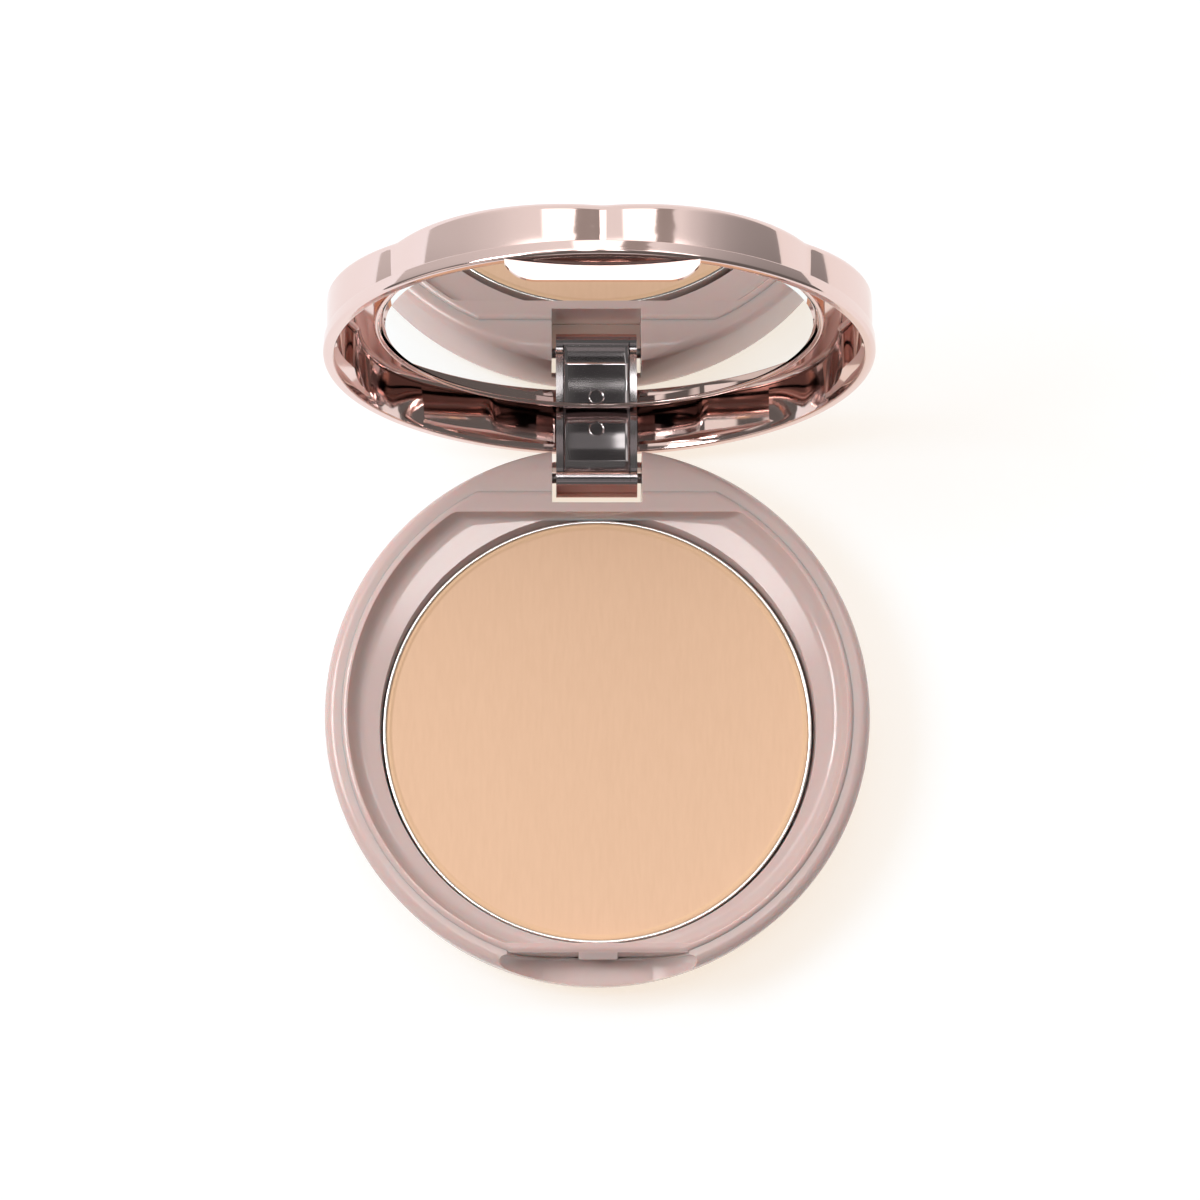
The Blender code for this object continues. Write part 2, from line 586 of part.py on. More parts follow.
def make_mirror_frame(material, hinge):
    """Backing plate with a rounded bead round the glass."""
    half = FRAME_BEAD_WIDTH / 2
    profile = [(0, FRAME_FACE), (FRAME_INNER, FRAME_FACE)]
    profile += arc(FRAME_INNER + half, GLASS_FACE - FRAME_BEAD_RISE + half, half, 180, 360, 6)
    profile += [(FRAME_RADIUS, FRAME_BACK), (0, FRAME_BACK)]
    finish_piece(turned("mirror_frame", profile), material, hinge)


def make_mirror_glass(material, hinge):
    """Round glass with a ground bevel."""
    profile = [(0, GLASS_FACE), (MIRROR_RADIUS - MIRROR_BEVEL, GLASS_FACE)]
    profile += [(MIRROR_RADIUS, GLASS_FACE + MIRROR_BEVEL_FALL), (MIRROR_RADIUS, GLASS_BACK), (0, GLASS_BACK)]
    finish_piece(turned("mirror_glass", profile), material, hinge, 15.0)


def make_mirror_tape(material, hinge):
    """Thin double-sided tape behind the glass."""
    radius = MIRROR_RADIUS - TAPE_INSET
    profile = [(0, TAPE_FACE), (radius, TAPE_FACE), (radius, TAPE_BACK), (0, TAPE_BACK)]
    finish_piece(turned("mirror_tape", profile, 0.0, ROUND_STEPS // 2), material, hinge)


def make_hinge_arm(material, hinge):
    """Arm from the pin to the lid's ceiling, with a hollowed pocket between two rails on its mirror side."""
    root = CEILING - LAYER_GAP
    outer = HINGE_Y + ARM_OUTER
    inner = HINGE_Y - ARM_INNER
    outer_turn = math.degrees(math.asin(ARM_OUTER / KNUCKLE_RADIUS))
    inner_turn = math.degrees(math.asin(ARM_INNER / KNUCKLE_RADIUS))
    outline = arc(HINGE_Y, HINGE_Z, KNUCKLE_RADIUS, 90 + inner_turn, 450 - outer_turn, 4 * FILLET_STEPS)
    outline += [(outer, root - ARM_ROOT_CHAMFER), (outer - ARM_ROOT_CHAMFER, root)]
    outline += [(inner + ARM_EDGE, root), (inner, root - ARM_EDGE)]
    arm = prism("hinge_arm", outline, ARM_WIDTH / 2)
    boolean(arm, prism("arm_bore", pin_circle(PIN_DIAMETER / 2 + CLEARANCE), ARM_WIDTH), "DIFFERENCE")
    start = HINGE_Z + POCKET_START
    end = root - POCKET_HEAD
    foot = start + POCKET_FOOT_SLOPE
    edge_floor = inner + POCKET_DEPTH - POCKET_SAG
    hollow = []
    for step in range(FILLET_STEPS + 1):
        share = step / FILLET_STEPS
        sag = POCKET_SAG * math.sin(math.pi * share)
        hollow.append((edge_floor + sag, foot + (end - POCKET_DRAFT - foot) * share))
    lead = OVERCUT * POCKET_FOOT_SLOPE / (edge_floor - inner)
    outline = [(inner - OVERCUT, start - lead)] + hollow + [(inner, end), (inner - OVERCUT, end)]
    boolean(arm, prism("arm_pocket", outline, ARM_WIDTH / 2 - RAIL_WIDTH), "DIFFERENCE")
    finish_piece(arm, material, hinge)


def build():
    clear_scene()
    mauve = make_material("mauve_plastic", (0.60, 0.46, 0.43), 0.38, 0.0)
    rose = make_material("rose_gold_plating", (0.86, 0.66, 0.60), 0.12, 1.0)
    smoke = make_material("smoke_chrome", (0.58, 0.54, 0.55), 0.12, 1.0)
    powder = make_material("pressed_powder", (0.80, 0.52, 0.34), 0.9, 0.0)
    tinplate = make_material("tinplate", (0.82, 0.80, 0.78), 0.25, 1.0)
    steel = make_material("steel", (0.45, 0.43, 0.42), 0.3, 1.0)
    silver = make_material("mirror_silver", (0.92, 0.93, 0.93), 0.02, 1.0)
    glue = make_material("clear_adhesive", (0.75, 0.72, 0.65), 0.5, 0.0)
    tape = make_material("white_tape", (0.85, 0.85, 0.83), 0.7, 0.0)

    make_base_shell(mauve)
    make_base_tray(mauve)
    make_pan_adhesive(glue)
    make_powder_pan(tinplate)
    make_pressed_powder(powder)
    make_hinge_pin(steel)

    hinge = bpy.data.objects.new("lid_hinge_axis", None)
    hinge.location = Vector((0, HINGE_Y, HINGE_Z)) * MM
    bpy.context.scene.collection.objects.link(hinge)
    make_lid_shell(rose, hinge)
    make_mirror_frame(rose, hinge)
    make_mirror_tape(tape, hinge)
    make_mirror_glass(silver, hinge)
    make_hinge_arm(smoke, hinge)
    hinge.rotation_euler = (-math.radians(OPEN_ANGLE), 0, 0)
    bpy.context.view_layer.update()


build()
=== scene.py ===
"""Looks of the powder compact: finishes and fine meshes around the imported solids, with the studio that shows them.

Sizes are millimetres unless a name says otherwise, and turn into metres where a mesh is made. The lid is drawn shut
and then turned open by the range of its own hinge.
"""
import json
import math

import bmesh
import bpy
from mathutils import Matrix, Vector


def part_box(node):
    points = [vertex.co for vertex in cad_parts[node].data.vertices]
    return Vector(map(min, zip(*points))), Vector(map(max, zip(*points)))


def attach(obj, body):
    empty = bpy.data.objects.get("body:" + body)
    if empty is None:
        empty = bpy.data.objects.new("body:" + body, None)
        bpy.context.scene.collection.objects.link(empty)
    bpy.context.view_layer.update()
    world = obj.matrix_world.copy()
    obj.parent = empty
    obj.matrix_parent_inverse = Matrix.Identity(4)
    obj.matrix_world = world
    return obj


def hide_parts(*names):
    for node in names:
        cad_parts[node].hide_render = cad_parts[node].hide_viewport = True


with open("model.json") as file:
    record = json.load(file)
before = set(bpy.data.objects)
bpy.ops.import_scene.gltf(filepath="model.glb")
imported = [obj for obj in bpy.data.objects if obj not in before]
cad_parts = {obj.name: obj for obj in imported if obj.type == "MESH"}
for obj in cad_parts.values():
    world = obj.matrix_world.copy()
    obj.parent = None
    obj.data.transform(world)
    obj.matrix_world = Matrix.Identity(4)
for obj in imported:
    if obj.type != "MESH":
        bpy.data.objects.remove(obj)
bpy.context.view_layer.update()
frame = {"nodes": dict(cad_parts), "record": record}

# Base shell
# The outer moulding of dusty-pink plastic: a shallow bowl with a soft shoulder, a hinge block at the rear
# that is slotted for the arm, and a thumb notch scooped out of the front. It is moulded in one shot.
MM = 0.001
base_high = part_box("base_shell")[1]
base_radius = base_high[0] / MM
shoulder = base_high[2] / MM
hinge_joint = frame["record"]["behaviour"]["joints"][0]
hinge_y = hinge_joint["pos_m"][1] / MM
hinge_z = hinge_joint["pos_m"][2] / MM
open_angle = math.radians(hinge_joint["range_deg"][1])


def arc(centre_a, centre_b, radius, start, end, steps):
    """Points of an arc, angles in degrees."""
    turns = [math.radians(start + (end - start) * step / steps) for step in range(steps + 1)]
    return [(centre_a + radius * math.cos(turn), centre_b + radius * math.sin(turn)) for turn in turns]


def skin(name, loops):
    """Closed mesh through loops of equal count; a loop of one point closes an end."""
    data = bmesh.new()
    rings = [[data.verts.new(Vector(point) * MM) for point in loop] for loop in loops]
    for lower, upper in zip(rings, rings[1:]):
        count = max(len(lower), len(upper))
        for i in range(count):
            j = (i + 1) % count
            corners = [lower[i % len(lower)], lower[j % len(lower)], upper[j % len(upper)], upper[i % len(upper)]]
            data.faces.new(list(dict.fromkeys(corners)))
    for ring in (rings[0], rings[-1]):
        if len(ring) > 2:
            data.faces.new(ring)
    bmesh.ops.recalc_face_normals(data, faces=data.faces)
    mesh = bpy.data.meshes.new(name)
    data.to_mesh(mesh)
    data.free()
    piece = bpy.data.objects.new(name, mesh)
    bpy.context.scene.collection.objects.link(piece)
    return piece


def turned_loops(profile, centre_y=0.0, steps=240):
    """Loops of a turned form about a vertical axis, from (radius, height) points."""
    turns = [2 * math.pi * i / steps for i in range(steps)]
    loops = []
    for radius, height in profile:
        if radius == 0:
            loops.append([(0, centre_y, height)])
        else:
            loops.append([(radius * math.cos(a), centre_y + radius * math.sin(a), height) for a in turns])
    return loops


def across(outline, half_width):
    """Loops that carry a (Y, Z) outline across X."""
    return [[(x, y, z) for y, z in outline] for x in (-half_width, half_width)]


def at_height(outline, height):
    return [(x, y, height) for x, y in outline]


def carve(piece, tool, operation="DIFFERENCE"):
    """Cuts or joins a helper solid into a piece and leaves plain mesh behind."""
    step = piece.modifiers.new("carve", "BOOLEAN")
    step.operation = operation
    step.object = tool
    step.solver = "EXACT"
    shaped = piece.evaluated_get(bpy.context.evaluated_depsgraph_get())
    mesh = bpy.data.meshes.new_from_object(shaped)
    piece.modifiers.clear()
    piece.data = mesh
    bpy.data.objects.remove(tool, do_unlink=True)


def soften(piece, width, angle=38.0, segments=3):
    """Breaks the moulded edges with a small radius and smooths the rest."""
    piece.data.shade_smooth()
    edges = piece.modifiers.new("edge_radius", "BEVEL")
    edges.width = width * MM
    edges.segments = segments
    edges.limit_method = "ANGLE"
    edges.angle_limit = math.radians(angle)
    edges.harden_normals = True
    edges.use_clamp_overlap = True


def chorded_outline(radius, rear, front, corner, steps=120, corner_steps=8, chord_steps=60):
    """Circle cut straight at the rear and the front, with rounded corners."""
    ends = []
    for sign, chord in ((1, rear), (-1, front)):
        level = chord - corner
        reach = math.sqrt((radius - corner) ** 2 - level ** 2)
        tilt = math.degrees(math.atan2(level, reach))
        far_turn = 180 - tilt if sign > 0 else tilt - 180
        right = arc(reach, sign * level, corner, sign * tilt, sign * 90, corner_steps)
        left = arc(-reach, sign * level, corner, sign * 90, far_turn, corner_steps)
        ends.append((tilt, right, left))
    (rear_tilt, rear_right, rear_left), (front_tilt, front_right, front_left) = ends
    along = [1 - 2 * step / chord_steps for step in range(1, chord_steps)]
    outline = rear_right + [(rear_right[-1][0] * share, rear) for share in along] + rear_left
    outline += arc(0, 0, radius, 180 - rear_tilt, 180 + front_tilt, steps)[1:-1]
    outline += front_left[::-1] + [(front_left[0][0] * share, -front) for share in along] + front_right[::-1]
    outline += arc(0, 0, radius, -front_tilt, rear_tilt, steps)[1:-1]
    return outline


def new_material(name, slot_colour):
    """Material with a Principled shader; returns it with its nodes, links and shader."""
    material = bpy.data.materials.new(name)
    material.use_nodes = True
    material.diffuse_color = (*slot_colour, 1.0)
    nodes = material.node_tree.nodes
    shader = nodes["Principled BSDF"]
    shader.inputs["Base Color"].default_value = (*slot_colour, 1.0)
    return material, nodes, material.node_tree.links, shader


def fit_to(piece, body, node, material):
    """Gives a piece its finish and puts it in the place of the solid that it stands for."""
    piece.data.materials.clear()
    piece.data.materials.append(material)
    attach(piece, body)
    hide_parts(node)


surface_grain = bpy.data.node_groups.new("surface_grain", "ShaderNodeTree")
for socket_name, socket_type, default in (("Scale", "NodeSocketFloat", 900.0),
                                          ("Stretch", "NodeSocketVector", (1, 1, 1)),
                                          ("Detail", "NodeSocketFloat", 3.0)):
    socket = surface_grain.interface.new_socket(socket_name, in_out="INPUT", socket_type=socket_type)
    socket.default_value = default
for socket_name in ("Fine", "Cloud"):
    surface_grain.interface.new_socket(socket_name, in_out="OUTPUT", socket_type="NodeSocketFloat")
grain_in = surface_grain.nodes.new("NodeGroupInput")
grain_out = surface_grain.nodes.new("NodeGroupOutput")
grain_place = surface_grain.nodes.new("ShaderNodeTexCoord")
grain_stretch = surface_grain.nodes.new("ShaderNodeVectorMath")
grain_stretch.operation = "MULTIPLY"
grain_fine = surface_grain.nodes.new("ShaderNodeTexNoise")
grain_cloud = surface_grain.nodes.new("ShaderNodeTexNoise")
grain_cloud.inputs["Scale"].default_value = 70.0
grain_cloud.inputs["Detail"].default_value = 4.0
grain_link = surface_grain.links.new
grain_link(grain_place.outputs["Object"], grain_stretch.inputs[0])
grain_link(grain_in.outputs["Stretch"], grain_stretch.inputs[1])
grain_link(grain_stretch.outputs[0], grain_fine.inputs["Vector"])
grain_link(grain_in.outputs["Scale"], grain_fine.inputs["Scale"])
grain_link(grain_in.outputs["Detail"], grain_fine.inputs["Detail"])
grain_link(grain_place.outputs["Object"], grain_cloud.inputs["Vector"])
grain_link(grain_fine.outputs["Fac"], grain_out.inputs["Fine"])
grain_link(grain_cloud.outputs["Fac"], grain_out.inputs["Cloud"])


def add_grain(nodes, scale, stretch=(1, 1, 1), detail=3.0):
    grain = nodes.new("ShaderNodeGroup")
    grain.node_tree = surface_grain
    grain.inputs["Scale"].default_value = scale
    grain.inputs["Stretch"].default_value = stretch
    grain.inputs["Detail"].default_value = detail
    return grain


def vary(nodes, links, source, low, high):
    """A value between low and high that follows a mask."""
    spread = nodes.new("ShaderNodeMapRange")
    spread.inputs["From Min"].default_value = 0.3
    spread.inputs["From Max"].default_value = 0.7
    spread.inputs["To Min"].default_value = low
    spread.inputs["To Max"].default_value = high
    links.new(source, spread.inputs["Value"])
    return spread.outputs["Result"]


def blend_colours(nodes, links, mask, first, second):
    mix = nodes.new("ShaderNodeMix")
    mix.data_type = "RGBA"
    mix.inputs["A"].default_value = (*first, 1.0)
    mix.inputs["B"].default_value = (*second, 1.0)
    links.new(mask, mix.inputs["Factor"])
    return mix.outputs["Result"]


def add_bump(nodes, links, shader, height, strength, distance_mm):
    bump = nodes.new("ShaderNodeBump")
    bump.inputs["Strength"].default_value = strength
    bump.inputs["Distance"].default_value = distance_mm * MM
    links.new(height, bump.inputs["Height"])
    links.new(bump.outputs["Normal"], shader.inputs["Normal"])


def mauve_finish(name, light, dark, smooth, worn):
    """Satin dusty-pink moulding: faint clouding, a fine eggshell texture and a soft sheen on its edges."""
    material, nodes, links, shader = new_material(name, light)
    grain = add_grain(nodes, 2600.0)
    links.new(blend_colours(nodes, links, grain.outputs["Cloud"], dark, light), shader.inputs["Base Color"])
    links.new(vary(nodes, links, grain.outputs["Fine"], smooth, worn), shader.inputs["Roughness"])
    shader.inputs["Specular IOR Level"].default_value = 0.5
    shader.inputs["Subsurface Weight"].default_value = 0.7
    shader.inputs["Subsurface Radius"].default_value = (1.0, 0.34, 0.25)
    shader.inputs["Subsurface Scale"].default_value = 1.3 * MM
    add_bump(nodes, links, shader, grain.outputs["Fine"], 0.12, 0.02)
    return material


def notch_section(half, low, top, sweep, break_turn, steps=20):
    """Trough in (X, Z), open at the top: a flat floor between two sweeps that rise to the shoulder."""
    rise = shoulder - low
    turn = math.degrees(math.atan2(rise, sweep)) - break_turn
    radius = math.hypot(sweep, rise) / (2 * math.sin(math.radians(turn)))
    centre_x = half - sweep - radius * math.sin(math.radians(break_turn))
    centre_z = low + radius * math.cos(math.radians(break_turn))
    side = arc(centre_x, centre_z, radius, break_turn - 90, break_turn + 2 * turn - 90, steps) + [(half, top)]
    return side + [(-x, z) for x, z in side[::-1]]


CLEARANCE = 0.3
SEAM = 0.01
TRAY_RADIUS = base_radius - 2.3
TRAY_REAR = hinge_y - 2.7
TRAY_FRONT = base_radius - 4.35
TRAY_CORNER = 0.9
RIM_SPACE_FLOOR = 7.6
CUP_SPACE_RADIUS = 31.3
BASE_FLOOR = 1.4
BASE_TAPER = 0.7
FOOT_ROUNDING = 3.2
SHOULDER_ROUNDING = 1.5
SLOT_HALF_WIDTH = 6.2
SLOT_FRONT = hinge_y - 4.3
SILL_FRONT = base_radius - 1.8
SILL_TOP = 4.93
BULLNOSE = 4.5
PIN_RADIUS = 0.7
PIN_REACH = 11.0
NOTCH_HALF_WIDTH = 13.8
NOTCH_CORNER = 1.3
NOTCH_INNER_HALF = NOTCH_HALF_WIDTH - NOTCH_CORNER
NOTCH_FLOOR = shoulder - 4.7
NOTCH_FALL = 0.09
NOTCH_SWEEP = 6.5
NOTCH_BREAK = 15.0
FRONT_WALL = 1.1
CUP_SPACE_TOP = shoulder - 3
CUT_PAST = 2.0
above = shoulder + 1.4

foot_turn = base_radius - BASE_TAPER - FOOT_ROUNDING
shell_profile = [(0, 0), (foot_turn / 2, 0), (foot_turn, 0)]
shell_profile += arc(foot_turn, FOOT_ROUNDING, FOOT_ROUNDING, -90, 0, 12)[1:]
shell_profile += arc(base_radius - SHOULDER_ROUNDING, shoulder - SHOULDER_ROUNDING, SHOULDER_ROUNDING, 0, 90, 12)
shell_profile += [(TRAY_RADIUS - 6, shoulder), (0, shoulder)]
base_shell = skin("compact_base_shell", turned_loops(shell_profile))
rim_space = chorded_outline(TRAY_RADIUS + SEAM, TRAY_REAR + SEAM, TRAY_FRONT + SEAM, TRAY_CORNER + SEAM)
carve(base_shell, skin("rim_space", [at_height(rim_space, z) for z in (RIM_SPACE_FLOOR, above)]))
pan_low, pan_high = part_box("powder_pan")
pan_y = (pan_low[1] + pan_high[1]) / 2 / MM
cup_space = [(0, BASE_FLOOR), (CUP_SPACE_RADIUS, BASE_FLOOR), (CUP_SPACE_RADIUS, CUP_SPACE_TOP), (0, CUP_SPACE_TOP)]
carve(base_shell, skin("cup_space", turned_loops(cup_space, pan_y)))
nose = arc(hinge_y, hinge_z, BULLNOSE, 90, 0, 24)
nose += [(base_radius + CUT_PAST, hinge_z), (base_radius + CUT_PAST, above), (hinge_y, above)]
carve(base_shell, skin("nose", across(nose, base_radius)))
slot_outline = [(SLOT_FRONT, -CUT_PAST), (SILL_FRONT, -CUT_PAST), (SILL_FRONT, SILL_TOP)]
slot_outline += [(base_radius + CUT_PAST, SILL_TOP), (base_radius + CUT_PAST, above), (SLOT_FRONT, above)]
carve(base_shell, skin("slot", across(slot_outline, SLOT_HALF_WIDTH)))
carve(base_shell, skin("bore", across(arc(hinge_y, hinge_z, PIN_RADIUS + CLEARANCE, 0, 345, 23), PIN_REACH)))

notch_wall = -TRAY_FRONT - CLEARANCE
notch_stations = [(notch_wall + FRONT_WALL + 0.6, NOTCH_INNER_HALF), (notch_wall, NOTCH_INNER_HALF)]
for widen, back in arc(0, 0, NOTCH_CORNER, 80, 0, 8):
    notch_stations.append((notch_wall - NOTCH_CORNER + back, NOTCH_INNER_HALF + widen))
notch_stations.append((-base_radius - CUT_PAST, NOTCH_HALF_WIDTH))
notch_loops = []
for y, half in notch_stations:
    low = NOTCH_FLOOR + NOTCH_FALL * min(y - notch_wall, 0)
    notch_loops.append([(x, y, z) for x, z in notch_section(half, low, above, NOTCH_SWEEP, NOTCH_BREAK)])
carve(base_shell, skin("notch", notch_loops))
soften(base_shell, 0.05)
MAUVE_LIGHT = (0.645, 0.494, 0.467)
MAUVE_DARK = (0.627, 0.478, 0.452)
mauve = mauve_finish("mauve_moulding", MAUVE_LIGHT, MAUVE_DARK, 0.18, 0.24)
fit_to(base_shell, "base", "base_shell", mauve)

# Inner tray
# A second moulding of the same plastic, pressed into the shell. It has the raised land, a well with leaning walls,
# the apron that falls to the pan, the cup that holds the pan, and the latch bump on its front wall.
LAND = shoulder + 0.4
WELL_RADIUS = TRAY_RADIUS - 0.8
WELL_REAR = SLOT_FRONT - 1.3
WELL_FRONT = TRAY_FRONT - 1.25
WELL_LEAN = 0.56
WELL_SLOPE = 62
WELL_HOLLOW = 1.8
WELL_REAR_SHARE = 0.42
WELL_FRONT_SHARE = 0.13
WELL_CORNER = 2.2
APRON = LAND - 2.0
APRON_DROP = 0.5
PAN_GAP = 0.1
SEAT_LEAD = 0.45
SEAT_DEPTH = 1.0
SEAT_DRAFT = 0.33
SEAT_SHIFT = (0.1, 0.45)
CUP_RADIUS = CUP_SPACE_RADIUS - CLEARANCE
CUP_EDGE = 0.8
CUP_TOP = APRON - 1.1
TRAY_EDGE = ((0.0, 4.0), (0.0, 0.38), (0.12, 0.24), (0.28, 0.11), (0.48, 0.03), (0.68, 0.0), (0.74, 0.0))
LATCH_TOP = LAND - 0.3
LATCH_NOSE = LATCH_TOP - 1.5
LATCH_FOOT = LATCH_NOSE - 0.35
LATCH_UNDERCUT = 0.3
LATCH_PROUD = 0.75
LATCH_TOP_HALF = 2.65
LATCH_FOOT_HALF = 2.35
pan_radius = pan_high[0] / MM
pan_top = pan_high[2] / MM
pan_bottom = pan_low[2] / MM
tray_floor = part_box("base_tray")[0][2] / MM
cup_inside = pan_bottom - 1.0
pan_seat = pan_radius + PAN_GAP

tray_loops = []
for inset, below in TRAY_EDGE:
    tray_outline = chorded_outline(TRAY_RADIUS - inset, TRAY_REAR - inset, TRAY_FRONT - inset, TRAY_CORNER)
    tray_loops.append(at_height(tray_outline, LAND - below))
base_tray = skin("compact_base_tray", tray_loops)
cup_profile = [(0, tray_floor), (CUP_RADIUS - CUP_EDGE, tray_floor), (CUP_RADIUS, tray_floor + CUP_EDGE)]
cup_profile += [(CUP_RADIUS, CUP_TOP), (0, CUP_TOP)]
cup = skin("cup", turned_loops(cup_profile, pan_y))
trim = [(-base_radius, -CUT_PAST), (-TRAY_FRONT, -CUT_PAST), (-TRAY_FRONT, above), (-base_radius, above)]
carve(cup, skin("cup_trim", across(trim, base_radius)))
carve(base_tray, cup, "UNION")
wall_section = notch_section(NOTCH_INNER_HALF - 0.2, NOTCH_FLOOR + 0.2, LAND - 0.3, NOTCH_SWEEP, NOTCH_BREAK)
wall_loops = [[(x, y, z) for x, z in wall_section] for y in (-TRAY_FRONT, FRONT_WALL - TRAY_FRONT)]
carve(base_tray, skin("front_wall", wall_loops), "UNION")


def apron_height(x, y):
    """Height of the cone that falls from the well's wall to the pan."""
    outside = WELL_RADIUS - 1.3 - pan_y
    return APRON - APRON_DROP * (outside - math.hypot(x, y - pan_y)) / (outside - pan_seat)


def seat_ring(share):
    """Ring about the pan with its points where the well's foot has them; it widens to the rear with share."""
    radius = pan_radius + PAN_GAP + SEAT_LEAD * share
    turns = [math.atan2(y - pan_y, x) for x, y, z in well_foot]
    return [(SEAT_SHIFT[0] * share + radius * math.cos(turn), pan_y + SEAT_SHIFT[1] * share + radius * math.sin(turn))
            for turn in turns]


well_mouth = chorded_outline(WELL_RADIUS, WELL_REAR, WELL_FRONT, WELL_CORNER)
well_loops = [at_height(well_mouth, LAND + 1.0), at_height(well_mouth, LAND)]
well_turns = [math.radians(turn) for turn in (WELL_SLOPE, 53, 44, 35, 26, 17, 8)]
for turn in well_turns:
    lean = WELL_LEAN + WELL_HOLLOW * (math.sin(well_turns[0]) - math.sin(turn))
    lift = WELL_HOLLOW * (math.cos(well_turns[-1]) - math.cos(turn))
    outline = chorded_outline(WELL_RADIUS - lean, WELL_REAR - lean * WELL_REAR_SHARE,
                              WELL_FRONT - lean * WELL_FRONT_SHARE, WELL_CORNER)
    well_loops.append([(x, y, apron_height(x, y) + lift) for x, y in outline])
well_foot = well_loops[-1]
seat_edge = seat_ring(1.0)
for share in (0.25, 0.5, 0.75, 1.0):
    between = [(a[0] + (b[0] - a[0]) * share, a[1] + (b[1] - a[1]) * share) for a, b in zip(well_foot, seat_edge)]
    well_loops.append([(x, y, apron_height(x, y)) for x, y in between])
well_loops += [at_height(seat_ring(SEAT_DRAFT), z) for z in (APRON - APRON_DROP - SEAT_DEPTH, cup_inside)]
well_loops.append([(0, pan_y, cup_inside)])
carve(base_tray, skin("well", well_loops))
slot_rear = TRAY_REAR + CUT_PAST
slot_top = LAND + CUT_PAST
tray_slot = [(SLOT_FRONT, -CUT_PAST), (slot_rear, -CUT_PAST), (slot_rear, slot_top), (SLOT_FRONT, slot_top)]
carve(base_tray, skin("tray_slot", across(tray_slot, SLOT_HALF_WIDTH)))
latch_loops = []
for y, top, foot in ((0.5, LATCH_TOP, LATCH_FOOT - LATCH_UNDERCUT), (0.0, LATCH_TOP, LATCH_FOOT - LATCH_UNDERCUT),
                     (-LATCH_PROUD, LATCH_NOSE, LATCH_FOOT)):
    corners = [(-LATCH_TOP_HALF, top), (LATCH_TOP_HALF, top), (LATCH_FOOT_HALF, foot), (-LATCH_FOOT_HALF, foot)]
    latch_loops.append([(x, y - TRAY_FRONT, z) for x, z in corners])
carve(base_tray, skin("latch", latch_loops), "UNION")
soften(base_tray, 0.14)
fit_to(base_tray, "base", "base_tray",
       mauve_finish("mauve_tray_moulding", MAUVE_LIGHT, MAUVE_DARK, 0.10, 0.13))

# Pan adhesive
# A pad of clear adhesive set under the pan. Only its edge could ever show, with the pan lifted out.
adhesive, nodes, links, shader = new_material("set_adhesive", (0.75, 0.72, 0.65))
grain = add_grain(nodes, 500.0)
links.new(blend_colours(nodes, links, grain.outputs["Cloud"], (0.66, 0.62, 0.54), (0.78, 0.75, 0.68)),
          shader.inputs["Base Color"])
links.new(vary(nodes, links, grain.outputs["Fine"], 0.35, 0.6), shader.inputs["Roughness"])
frame["nodes"]["pan_adhesive"].data.materials.clear()
frame["nodes"]["pan_adhesive"].data.materials.append(adhesive)

# Powder pan
# A shallow pan pressed from thin bright tinplate. Its rim is a rolled edge, the only part left in view.
PAN_SHEET = 0.45
PAN_BEND = 0.8
PAN_LIP = 0.17
pan_inner = pan_radius - PAN_SHEET
pan_profile = [(0, pan_bottom), (pan_radius - PAN_BEND, pan_bottom)]
pan_profile += arc(pan_radius - PAN_BEND, pan_bottom + PAN_BEND, PAN_BEND, -90, 0, 6)[1:]
pan_profile += arc(pan_radius - PAN_LIP, pan_top - PAN_LIP, PAN_LIP, 0, 90, 5)
pan_profile += arc(pan_inner + PAN_LIP, pan_top - PAN_LIP, PAN_LIP, 90, 180, 5)
pan_inside = pan_bottom + PAN_SHEET
pan_profile += [(pan_inner, pan_bottom + PAN_BEND), (pan_inner - PAN_BEND + PAN_SHEET, pan_inside), (0, pan_inside)]
powder_pan = skin("tin_powder_pan", turned_loops(pan_profile, pan_y))
powder_pan.data.shade_smooth()
powder_pan.data.set_sharp_from_angle(angle=math.radians(50))
tinplate, nodes, links, shader = new_material("bright_tinplate", (0.86, 0.84, 0.82))
grain = add_grain(nodes, 1500.0, (1, 1, 6))
links.new(blend_colours(nodes, links, grain.outputs["Cloud"], (0.80, 0.78, 0.75), (0.90, 0.88, 0.86)),
          shader.inputs["Base Color"])
shader.inputs["Metallic"].default_value = 1.0
links.new(vary(nodes, links, grain.outputs["Fine"], 0.14, 0.24), shader.inputs["Roughness"])
fit_to(powder_pan, "base", "powder_pan", tinplate)

# Pressed powder
# A cake of beige powder pressed into the pan. The press leaves a flat face with very fine streaks, and round it
# a narrow standing edge that is a little yellower.
powder_low, powder_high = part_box("pressed_powder")
powder_radius = pan_inner - 0.04
powder_top = powder_high[2] / MM
powder_bottom = powder_low[2] / MM
POWDER_STAMP = 0.13
powder_profile = [(0, powder_bottom), (powder_radius - 0.7, powder_bottom), (powder_radius, powder_bottom + 0.7)]
powder_face = powder_top - POWDER_STAMP
powder_profile += [(powder_radius, powder_top - 0.05), (powder_radius - 0.08, powder_top)]
powder_profile += [(powder_radius - 0.42, powder_top), (powder_radius - 0.55, powder_top - POWDER_STAMP * 0.35)]
powder_profile += [(powder_radius - 0.72, powder_face + 0.01), (powder_radius - 0.9, powder_face)]
powder_profile += [(powder_radius * 0.6, powder_face), (0, powder_face)]
powder = skin("pressed_powder_cake", turned_loops(powder_profile, pan_y))
powder.data.shade_smooth()
powder.data.set_sharp_from_angle(angle=math.radians(60))
POWDER_LIGHT = (0.830, 0.545, 0.368)
POWDER_DARK = (0.800, 0.518, 0.345)
POWDER_EDGE = (0.800, 0.520, 0.330)
powder_cake, nodes, links, shader = new_material("pressed_powder_cake", POWDER_LIGHT)
grain = add_grain(nodes, 1900.0, (1.0, 0.16, 1.0), 5.0)
